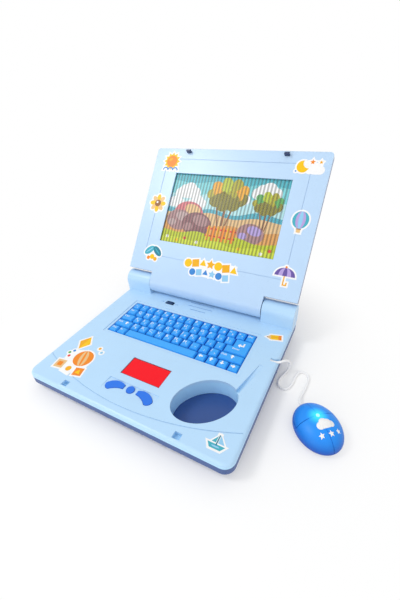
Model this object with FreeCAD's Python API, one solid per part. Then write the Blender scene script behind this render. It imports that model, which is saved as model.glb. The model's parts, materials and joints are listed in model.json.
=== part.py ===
import FreeCAD, Part
import math
import os

from FreeCAD import Vector

# A toy laptop computer with its lid open and its corded mouse beside it.
# Millimetres. X to the right, Y to the back, Z up. The origin is the middle of the
# base's flat underside, on the table.

# Driving dimensions of the base
BASE_WIDTH = 280.0
BASE_DEPTH = 237.0
DECK_HEIGHT = 26.0
PARTING_HEIGHT = 19.4
BAND_HEIGHT = 8.7
UNDERSIDE_INSET = 12.0
SHOULDER_INSET = 4.0
SHOULDER_HEIGHT = 3.6
FRONT_CORNER_RADIUS = 12.0
REAR_CORNER_RADIUS = 6.0
RIM_RADIUS = 3.6
WALL = 2.2
FLOOR = 2.4
LIP_HEIGHT = 2.0
LIP_THICKNESS = 1.2
FIT_GAP = 0.2

# Driving dimensions of the hinge and the lid
KNUCKLE_RADIUS = 14.3
KNUCKLE_LENGTH = 45.0
BARREL_RADIUS = 15.0
HINGE_END_GAP = 1.0
PIN_RADIUS = 3.0
PIN_RUNNING_CLEARANCE = 0.05
PIN_LENGTH = 44.0
PIN_BUSH_WALL = 3.0
OPEN_ANGLE = 128.5
LID_GAP = 1.0
LID_FRONT_MARGIN = 2.0
LID_REAR_GAP = 0.8
LID_THICKNESS = 12.0
LID_FRONT_HEIGHT = 4.0
LID_WALL = 2.0
LID_CORNER_RADIUS = 5.0
LID_EDGE_RADIUS = 2.5
SCREEN_WIDTH = 189.0
SCREEN_HEIGHT = 113.2
SCREEN_FROM_HINGE = 67.2
SCREEN_OVERLAP = 4.0
LENS_THICKNESS = 1.2
LENS_RIB_PITCH = 5.4
LENS_RIB_DEPTH = 0.5
CARD_THICKNESS = 0.6
LINE_WIDTH = 0.9
LINE_DEPTH = 0.6
FRAME_LINE_WIDTH = 233.0
FRAME_LINE_HEIGHT = 162.2
FRAME_LINE_FROM_HINGE = 41.6

# Driving dimensions of the latch
LATCH_SPACING = 157.4
LATCH_FROM_FRONT = 7.8
LATCH_SLOT_WIDTH = 8.6
LATCH_SLOT_DEPTH = 7.6
HOOK_WIDTH = 7.0
HOOK_THICKNESS = 2.6
HOOK_REACH = 6.0
HOOK_BARB = 1.4
LATCH_POCKET_WALL = 1.4
LATCH_POCKET_FLOOR = 1.2
LATCH_POCKET_DEPTH = 5.3

# Driving dimensions of the keyboard
KEY_PITCH = 13.5
ROW_PITCH = 14.4
ROW_COUNT = 5
KEYBOARD_FRONT = 107.2
KEY_GAP = 1.4
KEY_TAPER = 1.5
KEY_TOP_DROP = 0.2
KEY_HEIGHT = 2.8
KEY_TRAVEL = 1.2
KEY_STEM = 6.0
KEY_COLLAR = 7.6
KEY_COLLAR_THICKNESS = 1.0
STEM_CLEARANCE = 0.2
TRAY_BORDER = 4.0
TRAY_WEB = 1.5
TRAY_DEPTH = 4.5
RECESS_BORDER = 4.2
RECESS_DEPTH = 0.8
DOME_RADIUS = 4.4
DOME_HEIGHT = 1.7
SHEET_THICKNESS = 0.8
BOARD_THICKNESS = 1.6

# Widths of the keys, and lengths of the rows of equal keys, as counts of key pitches
KEYBOARD_PITCHES = 15
NUMBER_KEYS = (7, 7)
UPPER_LETTER_KEYS = (6, 6)
MIDDLE_LETTER_KEYS = (6, 5)
LOWER_LETTER_KEYS = (5, 5)
LETTER_SHARE = 1.0
LOWER_LETTER_SHARE = 1.04
TAB_SHARE = 1.2
CAPS_SHARE = 1.6
SHIFT_SHARE = 2.1
CORNER_SHARE = 1.1

# Driving dimensions of the display and the front buttons
WINDOW_WIDTH = 57.2
WINDOW_DEPTH = 28.6
WINDOW_FROM_FRONT = 49.2
WINDOW_DROP = 0.8
WINDOW_FLANGE = 3.0
WINDOW_FLANGE_THICKNESS = 1.5
DISPLAY_HEIGHT = 4.0
BUTTON_ROW_FROM_FRONT = 33.2
BUTTON_RADIUS = 5.0
BUTTON_GAP = 0.3
BUTTON_FLANGE = 1.4
BUTTON_FLANGE_THICKNESS = 1.4
BUTTON_PROUD = 0.4
POCKET_WIDTH = 71.2
POCKET_DEPTH = 19.0
POCKET_DROP = 0.9
POCKET_BEHIND_BUTTONS = 6.4
MEMBRANE_WIDTH = 74.0
MEMBRANE_DEPTH = 18.0
MEMBRANE_OFFSET = 3.0
MEMBRANE_PAD = (22.0, -1.0)
MAIN_BOARD_WIDTH = 96.0
MAIN_BOARD_DEPTH = 64.0
MAIN_BOARD_OFFSET = 22.0
POST_RADIUS = 3.0

# A side button's outline, from the middle of the round button: sideways and backwards
KIDNEY_NECK = (9.5, 2.6)
KIDNEY_CREST = (21.8, 4.5)
KIDNEY_SHOULDER = (33.2, -3.4)
KIDNEY_TOE = (31.0, -8.6)
KIDNEY_HEEL = (25.6, -10.0)
KIDNEY_HOLLOW = (19.4, -5.4)

# Driving dimensions of the mouse well, its channel and the cord's way out
WELL_LENGTH = 76.2
WELL_WIDTH = 54.6
WELL_ANGLE = 42.5
WELL_FROM_RIGHT = 56.0
WELL_FROM_FRONT = 56.6
WELL_WALL = 2.0
CHANNEL_WIDTH = 5.0
CHANNEL_DEPTH = 5.0
CHANNEL_END_DEPTH = 0.4
CHANNEL_LENGTH = 50.0
CHANNEL_ANGLE = 76.5
CHANNEL_START = (111.8, -36.5)
NOTCH_FROM_FRONT = 144.9
NOTCH_LENGTH = 10.0
NOTCH_WIDTH = 5.0
NOTCH_DEPTH = 4.2
GROMMET_RADIUS = 2.0
GROMMET_LENGTH = 8.0
GROMMET_PROUD = 1.5

# Driving dimensions of the other deck details
PALM_ARC_RADIUS = 346.0
PALM_ARC_FROM_FRONT = 10.1
SPEAKER_SLOTS = ((78.4, 26.0), (86.6, 41.0), (94.7, 41.0), (102.6, 45.0))
SPEAKER_SLOT_WIDTH = 1.4
SPEAKER_RADIUS = 18.0
SPEAKER_HEIGHT = 11.0
SPEAKER_BASKET_HEIGHT = 5.5
SPEAKER_BASKET_RADII = (9.0, 16.6)
SPEAKER_MAGNET_RADIUS = 9.9
SPEAKER_FROM_BACK = 30.0
SWITCH_X = -50.5
SWITCH_FROM_BACK = 38.6
SWITCH_NUB = (11.0, 7.0)
SWITCH_TRAVEL = 2.0
SWITCH_PROUD = 0.6
SWITCH_FLANGE = (22.0, 10.6, 1.2)
SWITCH_BODY = (14.0, 7.0, 4.5)
SWITCH_STEM = (4.0, 2.0)

# Driving dimensions of the power supply
CELL_DIAMETER = 14.5
CELL_LENGTH = 50.5
CELL_PITCH = 15.5
CELL_COUNT = 3
CELL_X = -88.0
CELL_Y = -57.0
CELL_END_ROOM = 3.0
CELL_GAP = 0.3
CELL_TIP_LENGTH = 1.2
CELL_TIP_RADIUS = 2.9
CONTACT_THICKNESS = 0.5
CONTACT_WIDTH = 10.2
CONTACT_SPRING_RADIUS = 2.4
BOX_WALL = 1.6
DOOR_THICKNESS = 1.6
DOOR_LAP = 1.5
DOOR_RIB_HEIGHT = 1.4
DOOR_TAB = 9.0

# Driving dimensions of the screws
SCREW_RADIUS = 1.1
SCREW_HEAD_RADIUS = 2.6
SCREW_HEAD_HEIGHT = 1.8
PILOT_CLEARANCE = 0.05
BOSS_RADIUS = 3.2
COLUMN_RADIUS = 4.2
COUNTERBORE = 5.0
COLUMN_TOP = 12.0
SCREW_END_ROOM = 2.0
BASE_SCREW_PLACES = (
    (-117.0, -98.0), (-45.0, -104.0), (45.0, -104.0), (117.0, -98.0),
    (-118.0, 42.0), (118.0, 42.0), (-80.0, 80.0), (80.0, 80.0),
)
LID_SCREW_PLACES = ((-122.0, 60.0), (122.0, 60.0), (-122.0, 190.0), (122.0, 190.0))

# Driving dimensions of the mouse
MOUSE_LENGTH = 58.4
MOUSE_WIDTH = 48.0
MOUSE_CROWN = 17.6
MOUSE_EQUATOR = 6.8
MOUSE_BELLY = 11.5
MOUSE_WALL = 1.8
MOUSE_PARTING = 5.0
MOUSE_X = 199.3
MOUSE_Y = -30.0
MOUSE_ANGLE = 133.0
BUTTON_SEAM = 3.6
SEAM_GAP = 0.5
BUTTON_SKIRT = 12.0
BUTTON_SKIRT_GAP = 1.2
LIGHT_RADIUS = 1.9
LIGHT_GAP = 0.2
LIGHT_PROUD = 0.3
MOUSE_BOARD = (-7.0, 18.0, 24.0)
MOUSE_BOARD_HEIGHT = 4.4
MOUSE_BOARD_THICKNESS = 1.2
MOUSE_BOARD_POST = 2.0
MOUSE_SWITCH = (14.0, 7.0, 6.0, 5.0)
MOUSE_LAMP_HEIGHT = 3.0
PLUNGER_WIDTH = 2.4
PLUNGER_GAP = 0.5
MOUSE_SCREW_X = -12.0
RELIEF_LENGTH = 6.4
RELIEF_RADIUS = 2.5
RELIEF_INSIDE = 4.5
MOUSE_CORD_HEIGHT = 5.0

# Driving dimensions of the cord, and its route from the notch to the mouse's nose
CORD_DIAMETER = 3.0
CORD_ARC_SHARE = 0.45
CORD_APPROACH = 5.0
CORD_ROUTE = (
    (136.4, 26.4, 23.5),
    (142.0, 29.2, 23.5),
    (145.6, 35.0, 22.6),
    (149.6, 40.6, 18.6),
    (151.8, 41.6, 11.4),
    (150.2, 37.8, 4.6),
    (146.8, 31.0, 1.5),
    (144.2, 22.6, 1.5),
    (144.2, 14.4, 1.5),
    (148.7, 9.4, 1.5),
    (155.2, 9.4, 1.5),
    (159.2, 15.0, 1.5),
    (160.4, 23.6, 1.5),
    (160.8, 32.6, 1.5),
    (162.2, 40.6, 1.5),
    (166.4, 45.0, 1.5),
    (172.8, 45.0, 1.5),
    (176.6, 39.6, 1.5),
    (176.8, 30.4, 1.5),
    (176.2, 20.4, 1.5),
    (175.0, 11.8, 1.5),
    (174.0, 4.4, 2.6),
)

# Places worked out from the driving dimensions
HALF_WIDTH = BASE_WIDTH / 2
FRONT_Y = -BASE_DEPTH / 2
BACK_Y = BASE_DEPTH / 2
DECK_UNDERSIDE = DECK_HEIGHT - WALL
BAND_BOTTOM = PARTING_HEIGHT - BAND_HEIGHT
SMALLEST_CORNER = 0.8
OVERCUT = 1.0
HINGE_Y = BACK_Y - KNUCKLE_RADIUS
HINGE_Z = DECK_HEIGHT + LID_GAP + BARREL_RADIUS
KNUCKLE_INNER_X = HALF_WIDTH - KNUCKLE_LENGTH
BARREL_HALF = KNUCKLE_INNER_X - HINGE_END_GAP
LID_INNER_Z = HINGE_Z - BARREL_RADIUS
LID_OUTER_Z = LID_INNER_Z + LID_THICKNESS
LID_SPLIT_Z = LID_INNER_Z + LID_FRONT_HEIGHT
LID_FRONT_Y = FRONT_Y + LID_FRONT_MARGIN
LID_REAR_Y = HINGE_Y - KNUCKLE_RADIUS - LID_REAR_GAP
LATCH_Y = FRONT_Y + LATCH_FROM_FRONT
LATCH_FLOOR_TOP = DECK_HEIGHT - LATCH_POCKET_DEPTH
LATCH_FLOOR_BOTTOM = LATCH_FLOOR_TOP - LATCH_POCKET_FLOOR
KEYBOARD_WIDTH = KEY_PITCH * KEYBOARD_PITCHES
KEYBOARD_DEPTH = ROW_PITCH * ROW_COUNT
KEYBOARD_Y0 = FRONT_Y + KEYBOARD_FRONT
KEYBOARD_Y1 = KEYBOARD_Y0 + KEYBOARD_DEPTH
TRAY_TOP = DECK_UNDERSIDE
TRAY_FLOOR_TOP = DECK_HEIGHT - TRAY_DEPTH
TRAY_FLOOR_BOTTOM = TRAY_FLOOR_TOP - TRAY_WEB
KEY_TOP = DECK_HEIGHT - KEY_TOP_DROP
KEY_BOTTOM = KEY_TOP - KEY_HEIGHT
COLLAR_TOP = TRAY_FLOOR_BOTTOM - STEM_CLEARANCE
COLLAR_BOTTOM = COLLAR_TOP - KEY_COLLAR_THICKNESS
STEM_BOTTOM = COLLAR_BOTTOM - KEY_TRAVEL
DOME_TOP = STEM_BOTTOM - STEM_CLEARANCE
SHEET_TOP = DOME_TOP - DOME_HEIGHT
CONTACT_BOARD_TOP = SHEET_TOP - SHEET_THICKNESS
WINDOW_Y = FRONT_Y + WINDOW_FROM_FRONT + WINDOW_DEPTH / 2
WINDOW_TOP = DECK_HEIGHT - WINDOW_DROP
WINDOW_BOTTOM = DECK_UNDERSIDE - WINDOW_FLANGE_THICKNESS
MAIN_BOARD_TOP = WINDOW_BOTTOM - DISPLAY_HEIGHT
BUTTON_Y = FRONT_Y + BUTTON_ROW_FROM_FRONT
BUTTON_FLANGE_TOP = DECK_UNDERSIDE - BUTTON_GAP
BUTTON_FLANGE_BOTTOM = BUTTON_FLANGE_TOP - BUTTON_FLANGE_THICKNESS
BUTTON_TOP = DECK_HEIGHT + BUTTON_PROUD
POCKET_Y1 = BUTTON_Y + POCKET_BEHIND_BUTTONS
POCKET_Y0 = POCKET_Y1 - POCKET_DEPTH
MAIN_BOARD_Y = BUTTON_Y + MAIN_BOARD_OFFSET
WELL_X = HALF_WIDTH - WELL_FROM_RIGHT
WELL_Y = FRONT_Y + WELL_FROM_FRONT
NOTCH_Y = FRONT_Y + NOTCH_FROM_FRONT
NOTCH_X = HALF_WIDTH - NOTCH_LENGTH
NOTCH_FLOOR = DECK_HEIGHT - NOTCH_DEPTH
CORD_RADIUS = CORD_DIAMETER / 2
CORD_EXIT_Z = NOTCH_FLOOR + FIT_GAP + CORD_RADIUS
SPEAKER_Y = BACK_Y - SPEAKER_FROM_BACK
SWITCH_Y = BACK_Y - SWITCH_FROM_BACK
CELL_BOTTOM = DOOR_THICKNESS + DOOR_RIB_HEIGHT + CELL_GAP
CELL_AXIS_Z = CELL_BOTTOM + CELL_DIAMETER / 2
BOX_WIDTH = CELL_PITCH * CELL_COUNT + 3 * CELL_GAP
BOX_LENGTH = CELL_LENGTH + 2 * CELL_END_ROOM
BOX_CEILING = CELL_BOTTOM + CELL_DIAMETER + CELL_GAP


def box(x0, x1, y0, y1, z0, z1):
    """An upright block between two corners."""
    return Part.makeBox(x1 - x0, y1 - y0, z1 - z0, Vector(x0, y0, z0))


def centred_box(x, y, width, depth, z0, z1):
    """An upright block about a point in plan."""
    return box(x - width / 2, x + width / 2, y - depth / 2, y + depth / 2, z0, z1)


def column(x, y, radius, z0, z1):
    """An upright cylinder."""
    return Part.makeCylinder(radius, z1 - z0, Vector(x, y, z0))


def along_x(y, z, radius, x0, x1):
    """A cylinder that lies along X."""
    return Part.makeCylinder(radius, x1 - x0, Vector(x0, y, z), Vector(1, 0, 0))


def along_y(x, z, radius, y0, y1):
    """A cylinder that lies along Y."""
    return Part.makeCylinder(radius, y1 - y0, Vector(x, y0, z), Vector(0, 1, 0))


def prism(wire, height):
    """A flat closed wire drawn upwards."""
    return Part.Face(wire).extrude(Vector(0, 0, height))


def rounded_wire(corners, z):
    """A closed outline of (x, y, radius) corners, listed anticlockwise."""
    edges = []
    joints = []
    count = len(corners)
    for i, (x, y, radius) in enumerate(corners):
        here = Vector(x, y, z)
        before = Vector(corners[i - 1][0], corners[i - 1][1], z) - here
        after = Vector(corners[(i + 1) % count][0], corners[(i + 1) % count][1], z) - here
        before.normalize()
        after.normalize()
        half = before.getAngle(after) / 2
        reach = radius / math.tan(half)
        middle = before + after
        middle.normalize()
        centre_way = radius / math.sin(half)
        arc_middle = here + middle * (centre_way - radius)
        joints.append((here + before * reach, arc_middle, here + after * reach))
    for i, (start, middle, end) in enumerate(joints):
        edges.append(Part.Arc(start, middle, end).toShape())
        edges.append(Part.LineSegment(end, joints[(i + 1) % count][0]).toShape())
    return Part.Wire(edges)


def base_outline(inset, z):
    """The base's plan, drawn in by inset all round."""
    x = HALF_WIDTH - inset
    front = max(FRONT_CORNER_RADIUS - inset, SMALLEST_CORNER)
    rear = max(REAR_CORNER_RADIUS - inset, SMALLEST_CORNER)
    y0 = FRONT_Y + inset
    y1 = BACK_Y - inset
    return rounded_wire([(-x, y0, front), (x, y0, front), (x, y1, rear), (-x, y1, rear)], z)


def base_prism(inset, z0, z1):
    """The base's plan as an upright solid."""
    return prism(base_outline(inset, z0), z1 - z0)


def tapered(z0, inset0, z1, inset1):
    """The base's plan growing from one inset to another, with straight sides."""
    return Part.makeLoft([base_outline(inset0, z0), base_outline(inset1, z1)], True, True)


def frustum(x0, x1, y0, y1, z0, z1, taper):
    """A block whose four sides lean in towards its top, all faces flat."""
    low = [Vector(x0, y0, z0), Vector(x1, y0, z0), Vector(x1, y1, z0), Vector(x0, y1, z0)]
    x2, x3, y2, y3 = x0 + taper, x1 - taper, y0 + taper, y1 - taper
    high = [Vector(x2, y2, z1), Vector(x3, y2, z1), Vector(x3, y3, z1), Vector(x2, y3, z1)]
    faces = [polygon(low[::-1]), polygon(high)]
    for i in range(4):
        j = (i + 1) % 4
        faces.append(polygon([low[i], low[j], high[j], high[i]]))
    return Part.Solid(Part.Shell(faces))


def polygon(points):
    """A flat face through corner points."""
    return Part.Face(Part.makePolygon(points + [points[0]]))


def ellipse_prism(x, y, length, width, angle, z0, z1):
    """An upright elliptical solid, its long axis turned by angle from X."""
    curve = Part.Ellipse(Vector(0, 0, 0), length / 2, width / 2)
    solid = prism(Part.Wire([curve.toShape()]), z1 - z0)
    solid.rotate(Vector(0, 0, 0), Vector(0, 0, 1), angle)
    solid.translate(Vector(x, y, z0))
    return solid


def profile_along(points, width, start, angle):
    """A side profile of (distance, height) points, given a width and turned in plan."""
    half = width / 2
    face = polygon([Vector(a, -half, z) for a, z in points])
    solid = face.extrude(Vector(0, width, 0))
    solid.rotate(Vector(0, 0, 0), Vector(0, 0, 1), angle)
    solid.translate(Vector(start[0], start[1], 0))
    return solid


def open_lid(shape):
    """Turn a lid piece, modelled closed, to the open position it rests in."""
    shape.rotate(Vector(0, HINGE_Y, HINGE_Z), Vector(1, 0, 0), -OPEN_ANGLE)
    return shape


def place_mouse(shape):
    """Turn and move a mouse piece, modelled about its own middle with its nose at +X."""
    shape.rotate(Vector(0, 0, 0), Vector(0, 0, 1), MOUSE_ANGLE)
    shape.translate(Vector(MOUSE_X, MOUSE_Y, 0))
    return shape


def save(name, shape):
    """Write one piece, or a group of like pieces, under its own name."""
    shape = shape.removeSplitter() if len(shape.Solids) == 1 else shape
    shape.exportStep("parts/" + name + ".step")


def group(shapes):
    """Separate like pieces that share one name."""
    return Part.makeCompound(shapes)


# The base's casing


def knuckle(side):
    """One end knuckle of the hinge, hollow, with a bush for its pin; side is -1 or 1."""
    x0, x1 = sorted((side * KNUCKLE_INNER_X, side * HALF_WIDTH))
    front = HINGE_Y - KNUCKLE_RADIUS
    block = box(x0, x1, front, BACK_Y, DECK_UNDERSIDE, HINGE_Z)
    outer = block.fuse(along_x(HINGE_Y, HINGE_Z, KNUCKLE_RADIUS, x0, x1))
    inner_x0, inner_x1 = x0 + WALL, x1 - WALL
    radius = KNUCKLE_RADIUS - WALL
    room = box(inner_x0, inner_x1, HINGE_Y - radius, HINGE_Y + radius,
               DECK_UNDERSIDE - OVERCUT, HINGE_Z)
    room = room.fuse(along_x(HINGE_Y, HINGE_Z, radius, inner_x0, inner_x1))
    bush = along_x(HINGE_Y, HINGE_Z, PIN_RADIUS + PIN_BUSH_WALL, x0, x1)
    bore_radius = PIN_RADIUS + PIN_RUNNING_CLEARANCE
    bore_end = side * (KNUCKLE_INNER_X + PIN_LENGTH / 2 + HINGE_END_GAP)
    bore_start = side * (KNUCKLE_INNER_X - OVERCUT)
    bore_x0, bore_x1 = sorted((bore_start, bore_end))
    bore = along_x(HINGE_Y, HINGE_Z, bore_radius, bore_x0, bore_x1)
    room = room.cut(bush)
    return outer, room.fuse(bore)


def channel():
    """The cord's channel from the mouse well: its thick underside, and the cut."""
    top = DECK_HEIGHT + OVERCUT
    start_floor = DECK_HEIGHT - CHANNEL_DEPTH
    end_floor = DECK_HEIGHT - CHANNEL_END_DEPTH
    length = CHANNEL_LENGTH
    cut = profile_along(((0, top), (length, top), (length, end_floor), (0, start_floor)),
                        CHANNEL_WIDTH, CHANNEL_START, CHANNEL_ANGLE)
    rib = profile_along(((0, DECK_UNDERSIDE), (length, DECK_UNDERSIDE),
                         (length, DECK_UNDERSIDE - SMALLEST_CORNER), (0, start_floor - WALL)),
                        CHANNEL_WIDTH + 2 * WALL, CHANNEL_START, CHANNEL_ANGLE)
    return rib, cut


def notch():
    """The cord's notch in the right edge: its thick underside, and the cut."""
    rib_bottom = NOTCH_FLOOR - WALL
    rib_x0 = NOTCH_X - GROMMET_LENGTH
    rib = box(rib_x0, HALF_WIDTH - WALL / 2, NOTCH_Y - NOTCH_WIDTH / 2 - WALL,
              NOTCH_Y + 1.5 * NOTCH_WIDTH + WALL, rib_bottom, DECK_UNDERSIDE + FIT_GAP)
    y0 = NOTCH_Y - NOTCH_WIDTH / 2
    y1 = NOTCH_Y + NOTCH_WIDTH / 2
    mouth_x = HALF_WIDTH + OVERCUT
    flare_x = NOTCH_X + NOTCH_LENGTH / 2
    plan = polygon([Vector(NOTCH_X, y0, NOTCH_FLOOR), Vector(mouth_x, y0, NOTCH_FLOOR),
                    Vector(mouth_x, y1 + NOTCH_WIDTH, NOTCH_FLOOR),
                    Vector(flare_x, y1, NOTCH_FLOOR), Vector(NOTCH_X, y1, NOTCH_FLOOR)])
    cut = plan.extrude(Vector(0, 0, NOTCH_DEPTH + OVERCUT))
    bore_start = NOTCH_X + GROMMET_PROUD - GROMMET_LENGTH
    bore = along_x(NOTCH_Y, CORD_EXIT_Z, GROMMET_RADIUS + PIN_RUNNING_CLEARANCE,
                   bore_start, NOTCH_X + GROMMET_PROUD + FIT_GAP)
    return rib, cut.fuse(bore)


def kidney_wire(side, grow, z):
    """A kidney-shaped outline beside the round button; side is -1 or 1."""
    slant = grow * math.sqrt(0.5)

    def at(place, out_x, out_y):
        return Vector(side * (place[0] + out_x), BUTTON_Y + place[1] + out_y, z)

    neck_x, neck_y = KIDNEY_NECK
    top = at(KIDNEY_NECK, -grow, grow)
    crest = at(KIDNEY_CREST, 0, grow)
    shoulder = at(KIDNEY_SHOULDER, grow, 0)
    toe = at(KIDNEY_TOE, slant, -slant)
    heel = at(KIDNEY_HEEL, 0, -grow)
    hollow = at(KIDNEY_HOLLOW, 0, -grow)
    bottom = at((neck_x, -neck_y), -grow, -grow)
    edges = [
        Part.Arc(top, crest, shoulder).toShape(),
        Part.Arc(shoulder, toe, heel).toShape(),
        Part.Arc(heel, hollow, bottom).toShape(),
        Part.LineSegment(bottom, top).toShape(),
    ]
    return Part.Wire(edges)


def kidney_prism(side, grow, z0, z1):
    """A kidney-shaped upright solid."""
    return prism(kidney_wire(side, grow, z0), z1 - z0)


def lid_frame_line():
    """The thin rectangular line pressed into the lid's inner face."""
    x = FRAME_LINE_WIDTH / 2
    y1 = HINGE_Y - FRAME_LINE_FROM_HINGE
    y0 = y1 - FRAME_LINE_HEIGHT
    z0 = LID_INNER_Z - OVERCUT
    z1 = LID_INNER_Z + LINE_DEPTH
    outer = box(-x, x, y0, y1, z0, z1)
    inner = box(-x + LINE_WIDTH, x - LINE_WIDTH, y0 + LINE_WIDTH, y1 - LINE_WIDTH, z0, z1)
    return outer.cut(inner)


def base_top_cover():
    """The light upper casing: deck, rim, mouse well wall and hinge knuckles."""
    outer = base_prism(0, PARTING_HEIGHT, DECK_HEIGHT)
    rim = [e for e in outer.Edges if min(v.Z for v in e.Vertexes) > DECK_HEIGHT - SMALLEST_CORNER]
    outer = outer.makeFillet(RIM_RADIUS, rim)
    cover = outer.cut(base_prism(WALL, PARTING_HEIGHT - OVERCUT, DECK_UNDERSIDE))
    adds = []
    cuts = []
    for side in (-1, 1):
        body, room = knuckle(side)
        adds.append(body)
        cuts.append(room)
        cuts.append(kidney_prism(side, BUTTON_GAP, PARTING_HEIGHT, DECK_HEIGHT + OVERCUT))
        adds.append(latch_pocket(side, LATCH_POCKET_WALL, LATCH_FLOOR_BOTTOM,
                                 DECK_UNDERSIDE + FIT_GAP))
        cuts.append(latch_pocket(side, 0, LATCH_FLOOR_TOP, DECK_HEIGHT + OVERCUT))
    adds.append(ellipse_prism(WELL_X, WELL_Y, WELL_LENGTH + 2 * WELL_WALL,
                              WELL_WIDTH + 2 * WELL_WALL, WELL_ANGLE,
                              FLOOR + FIT_GAP, DECK_UNDERSIDE + FIT_GAP))
    cuts.append(ellipse_prism(WELL_X, WELL_Y, WELL_LENGTH, WELL_WIDTH, WELL_ANGLE,
                              0, DECK_HEIGHT + OVERCUT))
    for rib, cut in (channel(), notch()):
        adds.append(rib)
        cuts.append(cut)
    cuts.append(column(0, BUTTON_Y, BUTTON_RADIUS + BUTTON_GAP, PARTING_HEIGHT,
                       DECK_HEIGHT + OVERCUT))
    cuts.append(pocket_cut())
    cuts.append(centred_box(0, WINDOW_Y, WINDOW_WIDTH, WINDOW_DEPTH, PARTING_HEIGHT,
                            DECK_HEIGHT + OVERCUT))
    cuts.append(keyboard_block(FIT_GAP, PARTING_HEIGHT, DECK_HEIGHT + OVERCUT))
    cuts.append(keyboard_block(RECESS_BORDER, DECK_HEIGHT - RECESS_DEPTH, DECK_HEIGHT + OVERCUT))
    cuts.extend(deck_slots())
    cuts.append(palm_line())
    for x, y in BASE_SCREW_PLACES:
        adds.append(column(x, y, BOSS_RADIUS, COLUMN_TOP, DECK_UNDERSIDE + FIT_GAP))
        cuts.append(column(x, y, SCREW_RADIUS + PILOT_CLEARANCE, COLUMN_TOP - OVERCUT,
                           DECK_UNDERSIDE - FIT_GAP))
    adds.extend(switch_posts())
    return cover.fuse(adds).cut(cuts)


def latch_pocket(side, grow, z0, z1):
    """A block over one latch slot's plan, grown all round; side is -1 or 1."""
    return centred_box(side * LATCH_SPACING / 2, LATCH_Y, LATCH_SLOT_WIDTH + 2 * grow,
                       LATCH_SLOT_DEPTH + 2 * grow, z0, z1)


def pocket_cut():
    """The wedge that sinks the front buttons, deepest at the back."""
    half = POCKET_WIDTH / 2
    points = (Vector(-half, POCKET_Y1, DECK_HEIGHT - POCKET_DROP),
              Vector(-half, POCKET_Y1, DECK_HEIGHT + OVERCUT),
              Vector(-half, POCKET_Y0, DECK_HEIGHT + OVERCUT),
              Vector(-half, POCKET_Y0, DECK_HEIGHT))
    return polygon(list(points)).extrude(Vector(POCKET_WIDTH, 0, 0))


def keyboard_block(grow, z0, z1):
    """A block over the keyboard's plan, grown all round."""
    half = KEYBOARD_WIDTH / 2 + grow
    return box(-half, half, KEYBOARD_Y0 - grow, KEYBOARD_Y1 + grow, z0, z1)


def deck_slots():
    """Openings behind the keyboard: the speaker's slots and the switch's slot."""
    slots = []
    for y, length in SPEAKER_SLOTS:
        slots.append(centred_box(0, y, length, SPEAKER_SLOT_WIDTH, PARTING_HEIGHT,
                                 DECK_HEIGHT + OVERCUT))
    width, depth = SWITCH_NUB
    slots.append(centred_box(SWITCH_X, SWITCH_Y, width + 2 * SWITCH_TRAVEL + 2 * FIT_GAP,
                             depth + 2 * FIT_GAP, PARTING_HEIGHT, DECK_HEIGHT + OVERCUT))
    return slots


def palm_line():
    """The thin curved line pressed across the palm rest."""
    centre_y = FRONT_Y + PALM_ARC_FROM_FRONT + PALM_ARC_RADIUS
    z0 = DECK_HEIGHT - LINE_DEPTH
    z1 = DECK_HEIGHT + OVERCUT
    ring = column(0, centre_y, PALM_ARC_RADIUS + LINE_WIDTH / 2, z0, z1)
    ring = ring.cut(column(0, centre_y, PALM_ARC_RADIUS - LINE_WIDTH / 2, z0, z1))
    reach = HALF_WIDTH - RIM_RADIUS
    near_front = box(-reach, reach, FRONT_Y, WELL_Y, z0, z1)
    return ring.common(near_front)


def switch_posts():
    """The two posts under the deck that carry the slide switch."""
    posts = []
    for side in (-1, 1):
        x = SWITCH_X + side * (SWITCH_FLANGE[0] / 2 + SWITCH_TRAVEL + POST_RADIUS)
        posts.append(column(x, SWITCH_Y, POST_RADIUS, switch_ear_top(), DECK_UNDERSIDE + FIT_GAP))
    return posts


def switch_ear_top():
    """Height of the slide switch's mounting ears."""
    return DECK_UNDERSIDE - BUTTON_GAP - SWITCH_FLANGE[2] - SWITCH_BODY[2]


def cell_box(grow, z0, z1):
    """A block over the battery compartment's plan, grown all round."""
    return centred_box(CELL_X, CELL_Y, BOX_WIDTH + 2 * grow, BOX_LENGTH + 2 * grow, z0, z1)


def door_tab(grow, z0, z1):
    """The battery door's screw tab in plan, behind the compartment."""
    y0 = CELL_Y + BOX_LENGTH / 2
    return box(CELL_X - DOOR_TAB / 2 - grow, CELL_X + DOOR_TAB / 2 + grow, y0,
               y0 + DOOR_LAP + DOOR_TAB + grow, z0, z1)


def door_screw_place():
    """Where the battery door's screw stands in plan."""
    return CELL_X, CELL_Y + BOX_LENGTH / 2 + DOOR_LAP + DOOR_TAB / 2


def board_post_places():
    """Where the main board's posts stand in plan."""
    x = MAIN_BOARD_WIDTH / 2 - POST_RADIUS - FIT_GAP
    y = MAIN_BOARD_DEPTH / 2 - POST_RADIUS - FIT_GAP
    return [(sx * x, MAIN_BOARD_Y + sy * y) for sx in (-1, 1) for sy in (-1, 1)]


def contact_post_places():
    """Where the keyboard contact board's posts stand in plan."""
    xs = [-KEYBOARD_WIDTH / 2, 0, KEYBOARD_WIDTH / 2]
    return [(x, y) for x in xs for y in (KEYBOARD_Y0, KEYBOARD_Y1)]


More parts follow.
